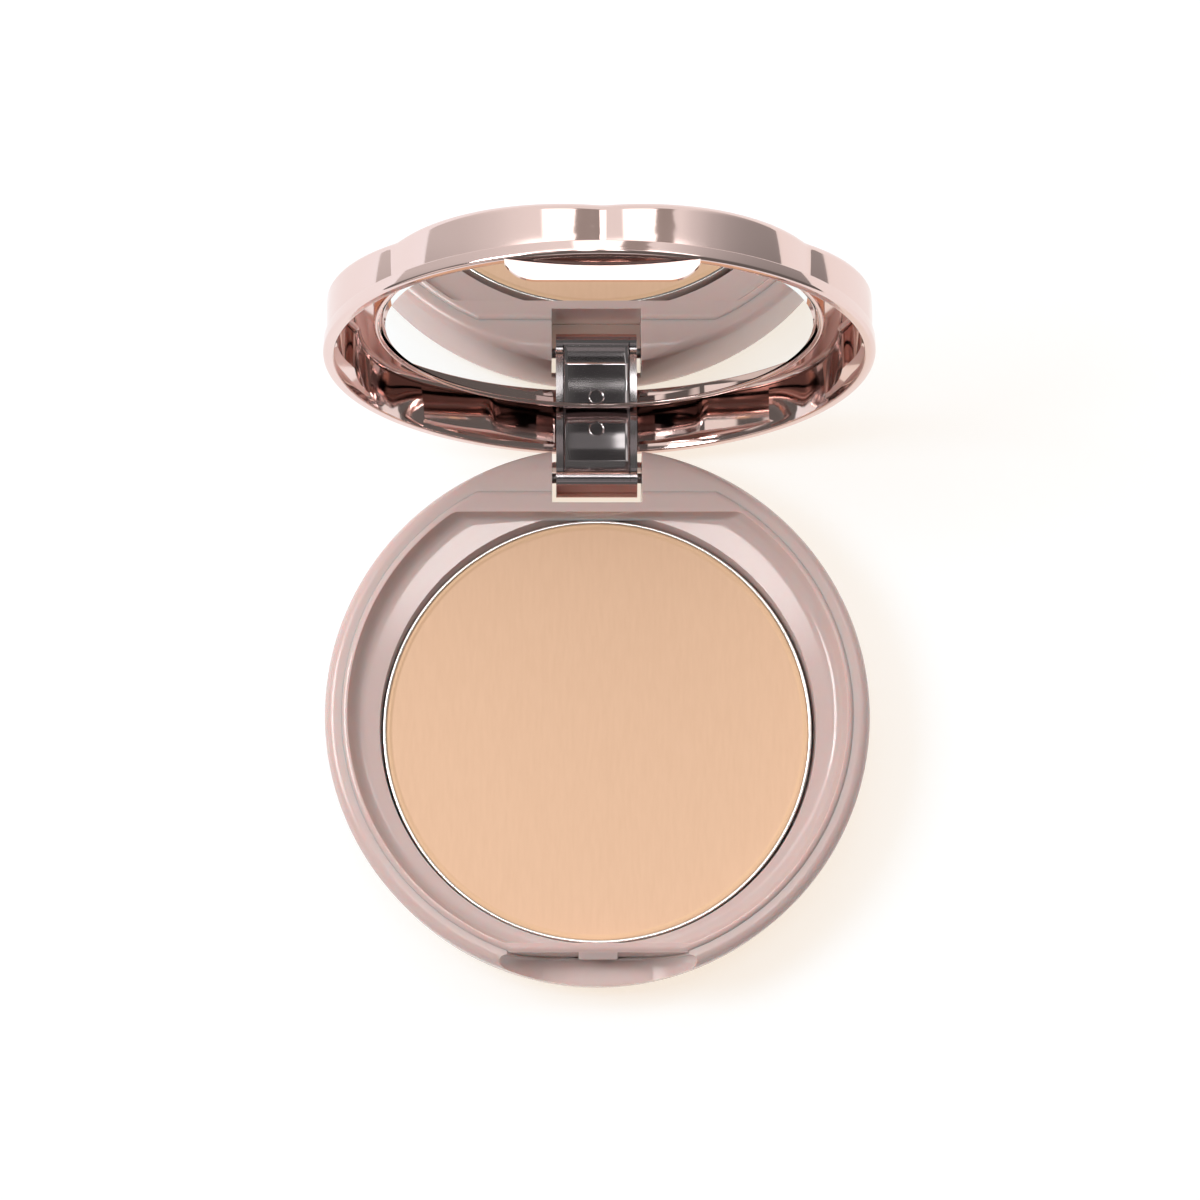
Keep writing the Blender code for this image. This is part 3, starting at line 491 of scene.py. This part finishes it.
speckle = add_grain(nodes, 5200.0, (1, 1, 1), 2.0)
face_colour = nodes.new("ShaderNodeMix")
face_colour.data_type = "RGBA"
face_colour.inputs["A"].default_value = (*POWDER_DARK, 1)
face_colour.inputs["B"].default_value = (*POWDER_LIGHT, 1)
links.new(vary(nodes, links, grain.outputs["Fine"], 0.15, 0.95), face_colour.inputs["Factor"])
place = nodes.new("ShaderNodeTexCoord")
from_middle = nodes.new("ShaderNodeVectorMath")
from_middle.operation = "SUBTRACT"
from_middle.inputs[1].default_value = (0, pan_y * MM, powder_top * MM)
links.new(place.outputs["Object"], from_middle.inputs[0])
reach = nodes.new("ShaderNodeVectorMath")
reach.operation = "LENGTH"
links.new(from_middle.outputs[0], reach.inputs[0])
edge_mask = nodes.new("ShaderNodeMapRange")
edge_mask.interpolation_type = "SMOOTHSTEP"
edge_mask.inputs["From Min"].default_value = (powder_radius - 0.95) * MM
edge_mask.inputs["From Max"].default_value = (powder_radius - 0.5) * MM
links.new(reach.outputs["Value"], edge_mask.inputs["Value"])
cake_colour = nodes.new("ShaderNodeMix")
cake_colour.data_type = "RGBA"
cake_colour.inputs["B"].default_value = (*POWDER_EDGE, 1)
links.new(edge_mask.outputs["Result"], cake_colour.inputs["Factor"])
links.new(face_colour.outputs["Result"], cake_colour.inputs["A"])
links.new(cake_colour.outputs["Result"], shader.inputs["Base Color"])
links.new(vary(nodes, links, speckle.outputs["Fine"], 0.78, 0.95), shader.inputs["Roughness"])
shader.inputs["Specular IOR Level"].default_value = 0.2
shader.inputs["Sheen Weight"].default_value = 0.12
shader.inputs["Sheen Roughness"].default_value = 0.4
heights = nodes.new("ShaderNodeMath")
heights.operation = "ADD"
links.new(grain.outputs["Fine"], heights.inputs[0])
links.new(speckle.outputs["Fine"], heights.inputs[1])
add_bump(nodes, links, shader, heights.outputs[0], 0.25, 0.03)
fit_to(powder, "base", "pressed_powder", powder_cake)

# Hinge pin
# A drawn steel pin pushed through the ears of the hinge block. Its dark ends show on both sides of the arm.
pin_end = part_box("hinge_pin")[1][0] / MM
pin_loops = []
for x, radius in ((-pin_end, 0.5), (0.06 - pin_end, 0.62), (0.2 - pin_end, PIN_RADIUS)):
    pin_loops.append([(x, y, z) for y, z in arc(hinge_y, hinge_z, radius, 0, 352.5, 47)])
pin_loops += [[(-x, y, z) for x, y, z in loop] for loop in pin_loops[::-1]]
hinge_pin = skin("steel_hinge_pin", pin_loops)
hinge_pin.data.shade_smooth()
hinge_pin.data.set_sharp_from_angle(angle=math.radians(40))
pin_steel, nodes, links, shader = new_material("drawn_steel", (0.40, 0.37, 0.36))
grain = add_grain(nodes, 900.0, (0.05, 4, 4))
links.new(blend_colours(nodes, links, grain.outputs["Fine"], (0.32, 0.29, 0.28), (0.46, 0.43, 0.42)),
          shader.inputs["Base Color"])
shader.inputs["Metallic"].default_value = 1.0
links.new(vary(nodes, links, grain.outputs["Fine"], 0.25, 0.4), shader.inputs["Roughness"])
fit_to(hinge_pin, "base", "hinge_pin", pin_steel)

# Lid shell
# A moulded shell plated in rose gold: a round closing flange, a wall of seven petals with a cusp at the front,
# a crowned top, and at the front a thumb plate with the catch tongue that drops behind the latch.
LID_GAP = 0.2
rim = shoulder + LID_GAP
lid_radius = base_radius
RING_INNER = lid_radius - 1.5
FLANGE = 1.9
PETALS = 7
PETAL_STEPS = 48
PETAL_TIP = lid_radius - 0.2
PETAL_CENTRE = 12.7
CUSP_SOFTNESS = 0.012
LID_WALL = 1.35
CEILING = rim + 7.15
CEILING_BEND = 0.9
LID_OUTER = CEILING + 0.85
LID_EDGE = 1.2
LID_CROWN = 0.6
LID_BELLY = 0.06
RIM_ROUNDING = 0.5
TONGUE_BACK = TRAY_FRONT + LATCH_PROUD + 0.4
TONGUE_FRONT = TONGUE_BACK + 0.7
TONGUE_TIP = rim - 2.9
TONGUE_HALF = NOTCH_HALF_WIDTH - 0.8
TONGUE_CORNER = 4.9
PLATE_LOW = rim + 0.3
PLATE_HIGH = PLATE_LOW + 1.2
about_hinge = Matrix.Translation((0, hinge_y * MM, hinge_z * MM))
swing_open = about_hinge @ Matrix.Rotation(-open_angle, 4, "X") @ about_hinge.inverted()


def petal_outline(inset, scale=1.0):
    """Petal line moved inwards by inset, with a cusp at the front and a petal at the hinge."""
    half_turn = math.pi / PETALS
    reach = PETAL_TIP - PETAL_CENTRE - inset
    points = []
    for petal in range(PETALS):
        middle = math.pi / 2 + 2 * half_turn * petal
        for step in range(PETAL_STEPS):
            turn = half_turn * (2 * step / PETAL_STEPS - 1)
            from_cusp = half_turn - abs(turn)
            softened = math.hypot(from_cusp, CUSP_SOFTNESS) - CUSP_SOFTNESS * from_cusp / half_turn
            bend = half_turn - softened
            radius = PETAL_CENTRE * math.cos(bend) + math.sqrt(reach ** 2 - (PETAL_CENTRE * math.sin(bend)) ** 2)
            points.append((scale * radius * math.cos(middle + turn), scale * radius * math.sin(middle + turn)))
    return points


def circle_outline(radius):
    """Circle with its points at the petals' turns."""
    count = PETALS * PETAL_STEPS
    start = math.pi / 2 - math.pi / PETALS
    return [(radius * math.cos(start + 2 * math.pi * i / count), radius * math.sin(start + 2 * math.pi * i / count))
            for i in range(count)]


lid_loops = [[(0, 0, CEILING)], at_height(petal_outline(LID_WALL + CEILING_BEND, 0.6), CEILING)]
for inset, height in arc(CEILING_BEND, CEILING - CEILING_BEND, CEILING_BEND, 90, 180, 8):
    lid_loops.append(at_height(petal_outline(LID_WALL + inset), height))
lid_loops.append(at_height(petal_outline(LID_WALL), rim + FLANGE - 0.6))
lid_loops.append(at_height(circle_outline(RING_INNER), rim + FLANGE - 0.9))
for radius, height in arc(RING_INNER + 0.2, rim + 0.2, 0.2, 180, 270, 4):
    lid_loops.append(at_height(circle_outline(radius), height))
for radius, height in arc(lid_radius - RIM_ROUNDING, rim + RIM_ROUNDING, RIM_ROUNDING, -90, 0, 8):
    lid_loops.append(at_height(circle_outline(radius), height))
for radius, height in arc(lid_radius - 0.16, rim + FLANGE - 0.16, 0.16, 0, 75, 4):
    lid_loops.append(at_height(circle_outline(radius), height))
wall_low = rim + FLANGE + 0.03
wall_high = LID_OUTER - LID_EDGE
for step in range(8):
    share = step / 8
    belly = petal_outline(-4 * LID_BELLY * share * (1 - share))
    lid_loops.append(at_height(belly, wall_low + (wall_high - wall_low) * share))
for inset, height in arc(LID_EDGE, wall_high, LID_EDGE, 180, 90, 12):
    lid_loops.append(at_height(petal_outline(inset), height))
for scale in (0.93, 0.85, 0.72, 0.6, 0.45, 0.3, 0.15):
    lid_loops.append(at_height(petal_outline(LID_EDGE, scale), LID_OUTER + LID_CROWN * (1 - scale ** 2)))
lid_loops.append([(0, 0, LID_OUTER + LID_CROWN)])
lid_shell = skin("plated_lid_shell", lid_loops)
plate_reach = RING_INNER + 0.5
plate_turn = math.degrees(math.asin(TONGUE_BACK / plate_reach))
plate = arc(0, 0, plate_reach, plate_turn - 180, -plate_turn, 48)
carve(lid_shell, skin("thumb_plate", [at_height(plate, z) for z in (PLATE_LOW, PLATE_HIGH)]), "UNION")
tongue_turn = TONGUE_HALF - TONGUE_CORNER * math.cos(math.radians(30))
tongue = arc(tongue_turn, TONGUE_TIP + TONGUE_CORNER, TONGUE_CORNER, -90, -30, 16)
tongue.append((tongue[-1][0], (PLATE_LOW + PLATE_HIGH) / 2))
tongue += [(-x, z) for x, z in tongue[::-1]]
carve(lid_shell, skin("tongue", [[(x, -y, z) for x, z in tongue] for y in (TONGUE_BACK, TONGUE_FRONT)]), "UNION")
lid_shell.data.transform(swing_open)
soften(lid_shell, 0.12, 48.0)


def plated_finish(name, colour, shade, smooth, worn):
    """Bright plating over plastic: very fine waviness from the moulding and faint handling haze."""
    material, nodes, links, shader = new_material(name, colour)
    grain = add_grain(nodes, 420.0)
    links.new(blend_colours(nodes, links, grain.outputs["Cloud"], shade, colour), shader.inputs["Base Color"])
    shader.inputs["Metallic"].default_value = 1.0
    links.new(vary(nodes, links, grain.outputs["Cloud"], smooth, worn), shader.inputs["Roughness"])
    add_bump(nodes, links, shader, grain.outputs["Cloud"], 0.05, 0.05)
    return material


ROSE = (0.845, 0.660, 0.620)
ROSE_SHADE = (0.815, 0.630, 0.590)
rose_gold = plated_finish("rose_gold_plating", ROSE, ROSE_SHADE, 0.05, 0.09)
fit_to(lid_shell, "lid", "lid_shell", rose_gold)

# Mirror frame
# A thin plated plate fixed in the lid. It carries the mirror and stands up round the glass as a rounded bead.
GLASS_FACE = rim + 4.6
GLASS_BACK = GLASS_FACE + 1.0
FRAME_FACE = GLASS_BACK + 0.8
FRAME_BACK = FRAME_FACE + 0.5
FRAME_RADIUS = hinge_y - 3.15
BEAD_WIDTH = 0.8
BEAD_RISE = 0.15
bead_half = BEAD_WIDTH / 2
frame_inner = FRAME_RADIUS - BEAD_WIDTH
frame_profile = [(0, FRAME_FACE), (frame_inner, FRAME_FACE)]
frame_profile += arc(frame_inner + bead_half, GLASS_FACE - BEAD_RISE + bead_half, bead_half, 180, 360, 14)
frame_profile += [(FRAME_RADIUS, FRAME_BACK), (0, FRAME_BACK)]
mirror_frame = skin("plated_mirror_frame", turned_loops(frame_profile))
mirror_frame.data.transform(swing_open)
mirror_frame.data.shade_smooth()
mirror_frame.data.set_sharp_from_angle(angle=math.radians(50))
fit_to(mirror_frame, "lid", "mirror_frame",
       plated_finish("rose_gold_frame_plating", ROSE, ROSE_SHADE, 0.06, 0.1))

# Mirror tape
# Thin white tape that holds the glass in its frame; the glass hides it.
white_tape, nodes, links, shader = new_material("mirror_tape", (0.85, 0.85, 0.83))
grain = add_grain(nodes, 1200.0)
links.new(blend_colours(nodes, links, grain.outputs["Fine"], (0.78, 0.78, 0.75), (0.88, 0.88, 0.86)),
          shader.inputs["Base Color"])
links.new(vary(nodes, links, grain.outputs["Fine"], 0.6, 0.8), shader.inputs["Roughness"])
frame["nodes"]["mirror_tape"].data.materials.clear()
frame["nodes"]["mirror_tape"].data.materials.append(white_tape)

# Mirror glass
# Round silvered glass with a ground bevel at its edge. The silver shows as a clean mirror.
mirror_radius = frame_inner - CLEARANCE
glass_profile = [(0, GLASS_FACE), (mirror_radius - 0.5, GLASS_FACE), (mirror_radius - 0.04, GLASS_FACE + 0.36)]
glass_profile += [(mirror_radius, GLASS_FACE + 0.42), (mirror_radius, GLASS_BACK), (0, GLASS_BACK)]
mirror_glass = skin("silvered_mirror", turned_loops(glass_profile))
mirror_glass.data.transform(swing_open)
mirror_glass.data.shade_smooth()
mirror_glass.data.set_sharp_from_angle(angle=math.radians(15))
silver, nodes, links, shader = new_material("mirror_silver", (0.93, 0.94, 0.935))
grain = add_grain(nodes, 300.0)
links.new(blend_colours(nodes, links, grain.outputs["Cloud"], (0.92, 0.93, 0.925), (0.935, 0.945, 0.94)),
          shader.inputs["Base Color"])
shader.inputs["Metallic"].default_value = 1.0
links.new(vary(nodes, links, grain.outputs["Cloud"], 0.006, 0.016), shader.inputs["Roughness"])
fit_to(mirror_glass, "lid", "mirror_glass", silver)

# Hinge arm
# A smoke-grey plated arm fixed in the lid. Its round end turns on the pin, and its heel carries a painted reflection:
# a rose tint standing for the slot's mauve front wall that the knuckle mirrors. Its mirror side is dished out between
# two rails, with the small round mark that the moulding tool leaves.
ARM_HALF = 5.6
ARM_INNER = 2.4
ARM_OUTER = 1.1
KNUCKLE = 2.7
RAIL = 0.95
POCKET_DEPTH = 1.3
POCKET_START = 0.3
POCKET_SLOPE = 1.7
POCKET_TILT = 0.075
WAVE_MIDDLE = 0.385
WAVE_REACH = 0.276
POCKET_HEAD = 1.2
MARK_UP = 6.9
MARK_RADIUS = 1.12
arm_root = CEILING - 0.25
arm_inner_face = hinge_y - ARM_INNER
arm_outer_face = hinge_y + ARM_OUTER
arm_outline = arc(hinge_y, hinge_z, KNUCKLE, 90 + math.degrees(math.asin(ARM_INNER / KNUCKLE)),
                  450 - math.degrees(math.asin(ARM_OUTER / KNUCKLE)), 48)
arm_outline += [(arm_outer_face, arm_root - 1.1), (arm_outer_face - 1.1, arm_root)]
arm_outline += [(arm_inner_face + 0.5, arm_root), (arm_inner_face, arm_root - 0.5)]
hinge_arm = skin("plated_hinge_arm", across(arm_outline, ARM_HALF))
carve(hinge_arm, skin("arm_bore", across(arc(hinge_y, hinge_z, PIN_RADIUS + CLEARANCE, 0, 352.5, 47), ARM_HALF * 2)))
pocket_half = ARM_HALF - RAIL
pocket_foot = hinge_z + POCKET_START + POCKET_SLOPE
pocket_end = arm_root - POCKET_HEAD
pocket_length = pocket_end - 0.3 - pocket_foot


def pocket_depth(share):
    """Depth of the pocket's floor from its foot (0) to its head (1): one soft step, shallower at the foot."""
    wave = min(max((share - WAVE_MIDDLE) / WAVE_REACH, -1), 1)
    climb = (1 - wave) / 2 - math.sin(math.pi * wave) / (2 * math.pi)
    return POCKET_DEPTH - pocket_length * POCKET_TILT * WAVE_REACH * climb


pocket_loops = []
for inset, depth in ((0.0, 0.02), (0.04, 0.45), (0.12, 0.72), (0.26, 0.89), (0.45, 0.97), (0.75, 1.0)):
    lead = POCKET_SLOPE / pocket_depth(0) / depth
    outline = [(arm_inner_face - 1.0, hinge_z + POCKET_START - lead)]
    for step in range(41):
        share = step / 40
        outline.append((arm_inner_face + pocket_depth(share) * depth, pocket_foot + pocket_length * share))
    for turn in (15, 35, 55, 75):
        lift = 0.3 * math.sin(math.radians(turn))
        head = POCKET_DEPTH * math.cos(math.radians(turn))
        outline.append((arm_inner_face + head * depth, pocket_end - 0.3 + lift))
    outline += [(arm_inner_face, pocket_end), (arm_inner_face - 1.0, pocket_end)]
    pocket_loops.append([(inset - pocket_half, y, z) for y, z in outline])
pocket_loops += [[(-x, y, z) for x, y, z in loop] for loop in pocket_loops[::-1]]
carve(hinge_arm, skin("pocket", pocket_loops))
mark_floor = arm_inner_face + pocket_depth((MARK_UP + hinge_z - pocket_foot) / pocket_length)
mark_loops = []
for radius, rise in ((MARK_RADIUS, -0.3), (MARK_RADIUS, 0.05), (MARK_RADIUS - 0.05, 0.11), (MARK_RADIUS - 0.13, 0.14),
                     (MARK_RADIUS - 0.21, 0.11), (MARK_RADIUS - 0.26, 0.02)):
    ring = arc(0, hinge_z + MARK_UP, radius, 0, 352.5, 47)
    mark_loops.append([(x, mark_floor - rise, z) for x, z in ring])
carve(hinge_arm, skin("tool_mark", mark_loops), "UNION")
hinge_arm.data.transform(swing_open)
soften(hinge_arm, 0.22, 35.0)
# Painted reflection: the heel's rose tint is colour put on the smoke plating for the slot's mauve front wall seen in
# the knuckle.
HEEL_LINE = 1.25
HEEL_BLEND = 0.1
HEEL_PAINTED_REFLECTION = (0.97, 0.67, 0.61)
smoke = plated_finish("smoke_plating", (0.60, 0.555, 0.565), (0.57, 0.525, 0.535), 0.08, 0.13)
nodes = smoke.node_tree.nodes
links = smoke.node_tree.links
shader = nodes["Principled BSDF"]
heel_place = nodes.new("ShaderNodeSeparateXYZ")
links.new(nodes.new("ShaderNodeTexCoord").outputs["Object"], heel_place.inputs[0])
heel_reflection_mask = nodes.new("ShaderNodeMapRange")
heel_reflection_mask.inputs["From Min"].default_value = (hinge_y - HEEL_LINE + HEEL_BLEND) * MM
heel_reflection_mask.inputs["From Max"].default_value = (hinge_y - HEEL_LINE - HEEL_BLEND) * MM
links.new(heel_place.outputs["Y"], heel_reflection_mask.inputs["Value"])
heel_reflection_colour = nodes.new("ShaderNodeMix")
heel_reflection_colour.data_type = "RGBA"
heel_reflection_colour.inputs["B"].default_value = (*HEEL_PAINTED_REFLECTION, 1)
links.new(heel_reflection_mask.outputs["Result"], heel_reflection_colour.inputs["Factor"])
links.new(shader.inputs["Base Color"].links[0].from_socket, heel_reflection_colour.inputs["A"])
links.new(heel_reflection_colour.outputs["Result"], shader.inputs["Base Color"])
fit_to(hinge_arm, "lid", "hinge_arm", smoke)

# Studio
# A white table in a pale room with a dark ceiling round the camera, white cards at the back and the sides, and a
# softbox on the left. The camera looks down on the open compact through a long lens.
CAMERA_DISTANCE = 1500.0
CAMERA_ELEVATION = math.radians(79.67)
CAMERA_LEFT = 0.0125
VIEW_WIDTH = 1200 / 7.2617
LOOK_AT = Vector((0.37, 15.87, shoulder))
scene = bpy.context.scene
scene.view_settings.view_transform = "Standard"

table = [(-560, -900), (370, -900), (370, 900), (-560, 900)]
floor = skin("studio_floor", [at_height(table, z) for z in (-2.0, -0.05)])
paper = bpy.data.materials.new("white_table")
paper.use_nodes = True
nodes = paper.node_tree.nodes
links = paper.node_tree.links
nodes.clear()
paper_out = nodes.new("ShaderNodeOutputMaterial")
paper_mix = nodes.new("ShaderNodeMixShader")
paper_seen = nodes.new("ShaderNodeAddShader")
paper_glow = nodes.new("ShaderNodeEmission")
paper_glow.inputs["Color"].default_value = (0.87, 0.735, 0.60, 1)
paper_glow.inputs["Strength"].default_value = 1.0
paper_shade = nodes.new("ShaderNodeBsdfDiffuse")
paper_shade.inputs["Color"].default_value = (0.16, 0.30, 0.44, 1)
paper_matt = nodes.new("ShaderNodeBsdfDiffuse")
paper_matt.inputs["Color"].default_value = (0.9, 0.89, 0.87, 1)
rays = nodes.new("ShaderNodeLightPath")
seen = None
for ray in ("Is Camera Ray", "Is Glossy Ray", "Is Transmission Ray"):
    either = nodes.new("ShaderNodeMath")
    either.operation = "MAXIMUM"
    if seen is not None:
        links.new(seen, either.inputs[1])
    links.new(rays.outputs[ray], either.inputs[0])
    seen = either.outputs[0]
links.new(seen, paper_mix.inputs["Fac"])
links.new(paper_glow.outputs[0], paper_seen.inputs[0])
links.new(paper_shade.outputs[0], paper_seen.inputs[1])
links.new(paper_matt.outputs[0], paper_mix.inputs[1])
links.new(paper_seen.outputs[0], paper_mix.inputs[2])
links.new(paper_mix.outputs[0], paper_out.inputs["Surface"])
floor.data.materials.append(paper)

sky_patch = bpy.data.node_groups.new("sky_patch", "ShaderNodeTree")
for socket_name in ("Ray", "Facing", "Side", "Rise"):
    sky_patch.interface.new_socket(socket_name, in_out="INPUT", socket_type="NodeSocketVector")
for socket_name in ("Wide", "High", "Soft"):
    sky_patch.interface.new_socket(socket_name, in_out="INPUT", socket_type="NodeSocketFloat")
sky_patch.interface.new_socket("Mask", in_out="OUTPUT", socket_type="NodeSocketFloat")
patch_in = sky_patch.nodes.new("NodeGroupInput")
patch_out = sky_patch.nodes.new("NodeGroupOutput")
patch_dots = []
for socket_name in ("Facing", "Side", "Rise"):
    dot = sky_patch.nodes.new("ShaderNodeVectorMath")
    dot.operation = "DOT_PRODUCT"
    sky_patch.links.new(patch_in.outputs["Ray"], dot.inputs[0])
    sky_patch.links.new(patch_in.outputs[socket_name], dot.inputs[1])
    patch_dots.append(dot.outputs["Value"])
ahead = sky_patch.nodes.new("ShaderNodeMath")
ahead.operation = "MAXIMUM"
ahead.inputs[1].default_value = 0.001
sky_patch.links.new(patch_dots[0], ahead.inputs[0])
patch_mask = None
for dot, socket_name in ((patch_dots[1], "Wide"), (patch_dots[2], "High")):
    slope = sky_patch.nodes.new("ShaderNodeMath")
    slope.operation = "DIVIDE"
    sky_patch.links.new(dot, slope.inputs[0])
    sky_patch.links.new(ahead.outputs[0], slope.inputs[1])
    size = sky_patch.nodes.new("ShaderNodeMath")
    size.operation = "ABSOLUTE"
    sky_patch.links.new(slope.outputs[0], size.inputs[0])
    inside = sky_patch.nodes.new("ShaderNodeMath")
    inside.operation = "SUBTRACT"
    sky_patch.links.new(patch_in.outputs[socket_name], inside.inputs[0])
    sky_patch.links.new(size.outputs[0], inside.inputs[1])
    edge = sky_patch.nodes.new("ShaderNodeMath")
    edge.operation = "DIVIDE"
    edge.use_clamp = True
    sky_patch.links.new(inside.outputs[0], edge.inputs[0])
    sky_patch.links.new(patch_in.outputs["Soft"], edge.inputs[1])
    if patch_mask is None:
        patch_mask = edge.outputs[0]
    else:
        both = sky_patch.nodes.new("ShaderNodeMath")
        both.operation = "MULTIPLY"
        sky_patch.links.new(patch_mask, both.inputs[0])
        sky_patch.links.new(edge.outputs[0], both.inputs[1])
        patch_mask = both.outputs[0]
sky_patch.links.new(patch_mask, patch_out.inputs["Mask"])

world = bpy.data.worlds.new("pale_room")
scene.world = world
world.use_nodes = True
nodes = world.node_tree.nodes
links = world.node_tree.links
room = nodes["Background"]
sky_ray = nodes.new("ShaderNodeTexCoord").outputs["Generated"]
ragged = nodes.new("ShaderNodeTexNoise")
ragged.inputs["Scale"].default_value = 22.0
ragged.inputs["Detail"].default_value = 3.0
links.new(sky_ray, ragged.inputs["Vector"])
ragged_shift = nodes.new("ShaderNodeVectorMath")
ragged_shift.operation = "MULTIPLY_ADD"
ragged_shift.inputs[1].default_value = (0.16, 0.0, 0.0)
links.new(ragged.outputs["Color"], ragged_shift.inputs[0])
links.new(sky_ray, ragged_shift.inputs[2])
sky_parts = nodes.new("ShaderNodeSeparateXYZ")
links.new(sky_ray, sky_parts.inputs[0])
sideways = nodes.new("ShaderNodeMapRange")
sideways.inputs["From Min"].default_value = -1.0
links.new(sky_parts.outputs["X"], sideways.inputs["Value"])
rear_wall = nodes.new("ShaderNodeValToRGB")
REAR_LEVELS = ((-1.0, 0.66), (-0.85, 0.68), (-0.62, 0.79), (-0.46, 0.89), (-0.28, 0.95), (0.38, 0.94),
               (0.48, 0.77), (0.56, 0.67), (0.64, 0.55), (0.76, 0.44), (0.86, 0.37), (1.0, 0.31))
for step, (across_room, level) in enumerate(REAR_LEVELS):
    stops = rear_wall.color_ramp.elements
    stop = stops[step] if step < 2 else stops.new(1.0)
    stop.position = (across_room + 1) / 2
    stop.color = (level, level * 0.985, level * 0.975, 1)
links.new(sideways.outputs["Result"], rear_wall.inputs["Fac"])
depth = nodes.new("ShaderNodeMapRange")
depth.interpolation_type = "SMOOTHSTEP"
depth.inputs["From Min"].default_value = -0.1
depth.inputs["From Max"].default_value = 0.45
links.new(sky_parts.outputs["Y"], depth.inputs["Value"])
walls = nodes.new("ShaderNodeMix")
walls.data_type = "RGBA"
walls.inputs["A"].default_value = (0.14, 0.137, 0.133, 1)
links.new(depth.outputs["Result"], walls.inputs["Factor"])
links.new(rear_wall.outputs["Color"], walls.inputs["B"])
sky_colour = walls.outputs["Result"]


def hang(behind, colour, facing, wide, high, soft, torn=False):
    """Hangs a card before what is behind it; width and height are tangents of its half angles."""
    facing = Vector(facing).normalized()
    side = (Vector((1, 0, 0)) - facing * facing.x).normalized()
    if abs(facing.x) > 0.8:
        side = facing.cross(Vector((0, 0, 1))).normalized()
    card = nodes.new("ShaderNodeGroup")
    card.node_tree = sky_patch
    card.inputs["Facing"].default_value = facing
    card.inputs["Side"].default_value = side
    card.inputs["Rise"].default_value = side.cross(facing)
    card.inputs["Wide"].default_value = wide
    card.inputs["High"].default_value = high
    card.inputs["Soft"].default_value = soft
    links.new(ragged_shift.outputs[0] if torn else sky_ray, card.inputs["Ray"])
    mix = nodes.new("ShaderNodeMix")
    mix.data_type = "RGBA"
    mix.inputs["B"].default_value = (*colour, 1)
    links.new(behind, mix.inputs["A"])
    links.new(card.outputs["Mask"], mix.inputs["Factor"])
    return mix.outputs["Result"]


OVERHEAD = (10.0, 9.9, 9.8)
SIDE_CARD = (3.5, 3.45, 3.4)
sky_colour = hang(sky_colour, (0.06, 0.057, 0.057), (0, -0.19, 0.98), 0.16, 0.13, 0.08)
for side in (-1, 1):
    sky_colour = hang(sky_colour, OVERHEAD, (side * 0.095, 0.04, 0.99), 0.075, 0.065, 0.015)
    sky_colour = hang(sky_colour, SIDE_CARD, (side * 0.42, 0.34, 0.85), 0.28, 0.13, 0.05)
for card in (((1.0, 0.96, 0.93), (-0.5, -0.2, 0.84), 0.25, 0.12, 0.04),
             ((0.8, 0.76, 0.73), (-0.72, -0.6, 0.3), 0.4, 0.3, 0.06),
             ((0.34, 0.30, 0.30), (0.0, -0.47, 0.88), 0.2, 0.07, 0.02),
             ((0.22, 0.21, 0.21), (0.0, -0.31, 0.95), 0.12, 0.06, 0.01),
             ((2.0, 1.98, 1.95), (-0.09, -0.31, 0.945), 0.035, 0.05, 0.01),
             ((2.1, 2.07, 2.03), (0.0, 0.53, 0.845), 0.19, 0.22, 0.02),
             ((0.38, 0.35, 0.33), (0.30, 0.53, 0.79), 0.10, 0.30, 0.02, True)):
    sky_colour = hang(sky_colour, *card)
camera_ray = nodes.new("ShaderNodeLightPath")
backdrop = nodes.new("ShaderNodeMix")
backdrop.data_type = "RGBA"
backdrop.inputs["B"].default_value = (1, 1, 1, 1)
links.new(camera_ray.outputs["Is Camera Ray"], backdrop.inputs["Factor"])
links.new(sky_colour, backdrop.inputs["A"])
links.new(backdrop.outputs["Result"], room.inputs["Color"])
room.inputs["Strength"].default_value = 1.0


def softbox(name, place, aim, width, height, watts):
    """A square of soft light at a place, facing a point; sizes in millimetres."""
    lamp = bpy.data.lights.new(name, "AREA")
    lamp.shape = "RECTANGLE"
    lamp.size = width * MM
    lamp.size_y = height * MM
    lamp.energy = watts
    holder = bpy.data.objects.new(name, lamp)
    holder.location = Vector(place) * MM
    holder.rotation_euler = (Vector(aim) - Vector(place)).to_track_quat("-Z", "Y").to_euler()
    scene.collection.objects.link(holder)


softbox("left_softbox", (-560, 110, 700), (0, 10, 10), 340, 340, 3.8)

lens = bpy.data.cameras.new("photo_camera")
lens.sensor_fit = "HORIZONTAL"
lens.sensor_width = 36.0
lens.lens = 36.0 * CAMERA_DISTANCE / VIEW_WIDTH
lens.clip_start = 0.05
lens.clip_end = 10.0
camera = bpy.data.objects.new("photo_camera", lens)
back = Vector((-CAMERA_LEFT, -math.cos(CAMERA_ELEVATION), math.sin(CAMERA_ELEVATION))).normalized()
right = (Vector((1, 0, 0)) - back * back.x).normalized()
upward = back.cross(right)
camera.location = (LOOK_AT + back * CAMERA_DISTANCE) * MM
camera.rotation_euler = Matrix((right, upward, back)).transposed().to_euler()
scene.collection.objects.link(camera)
scene.camera = camera
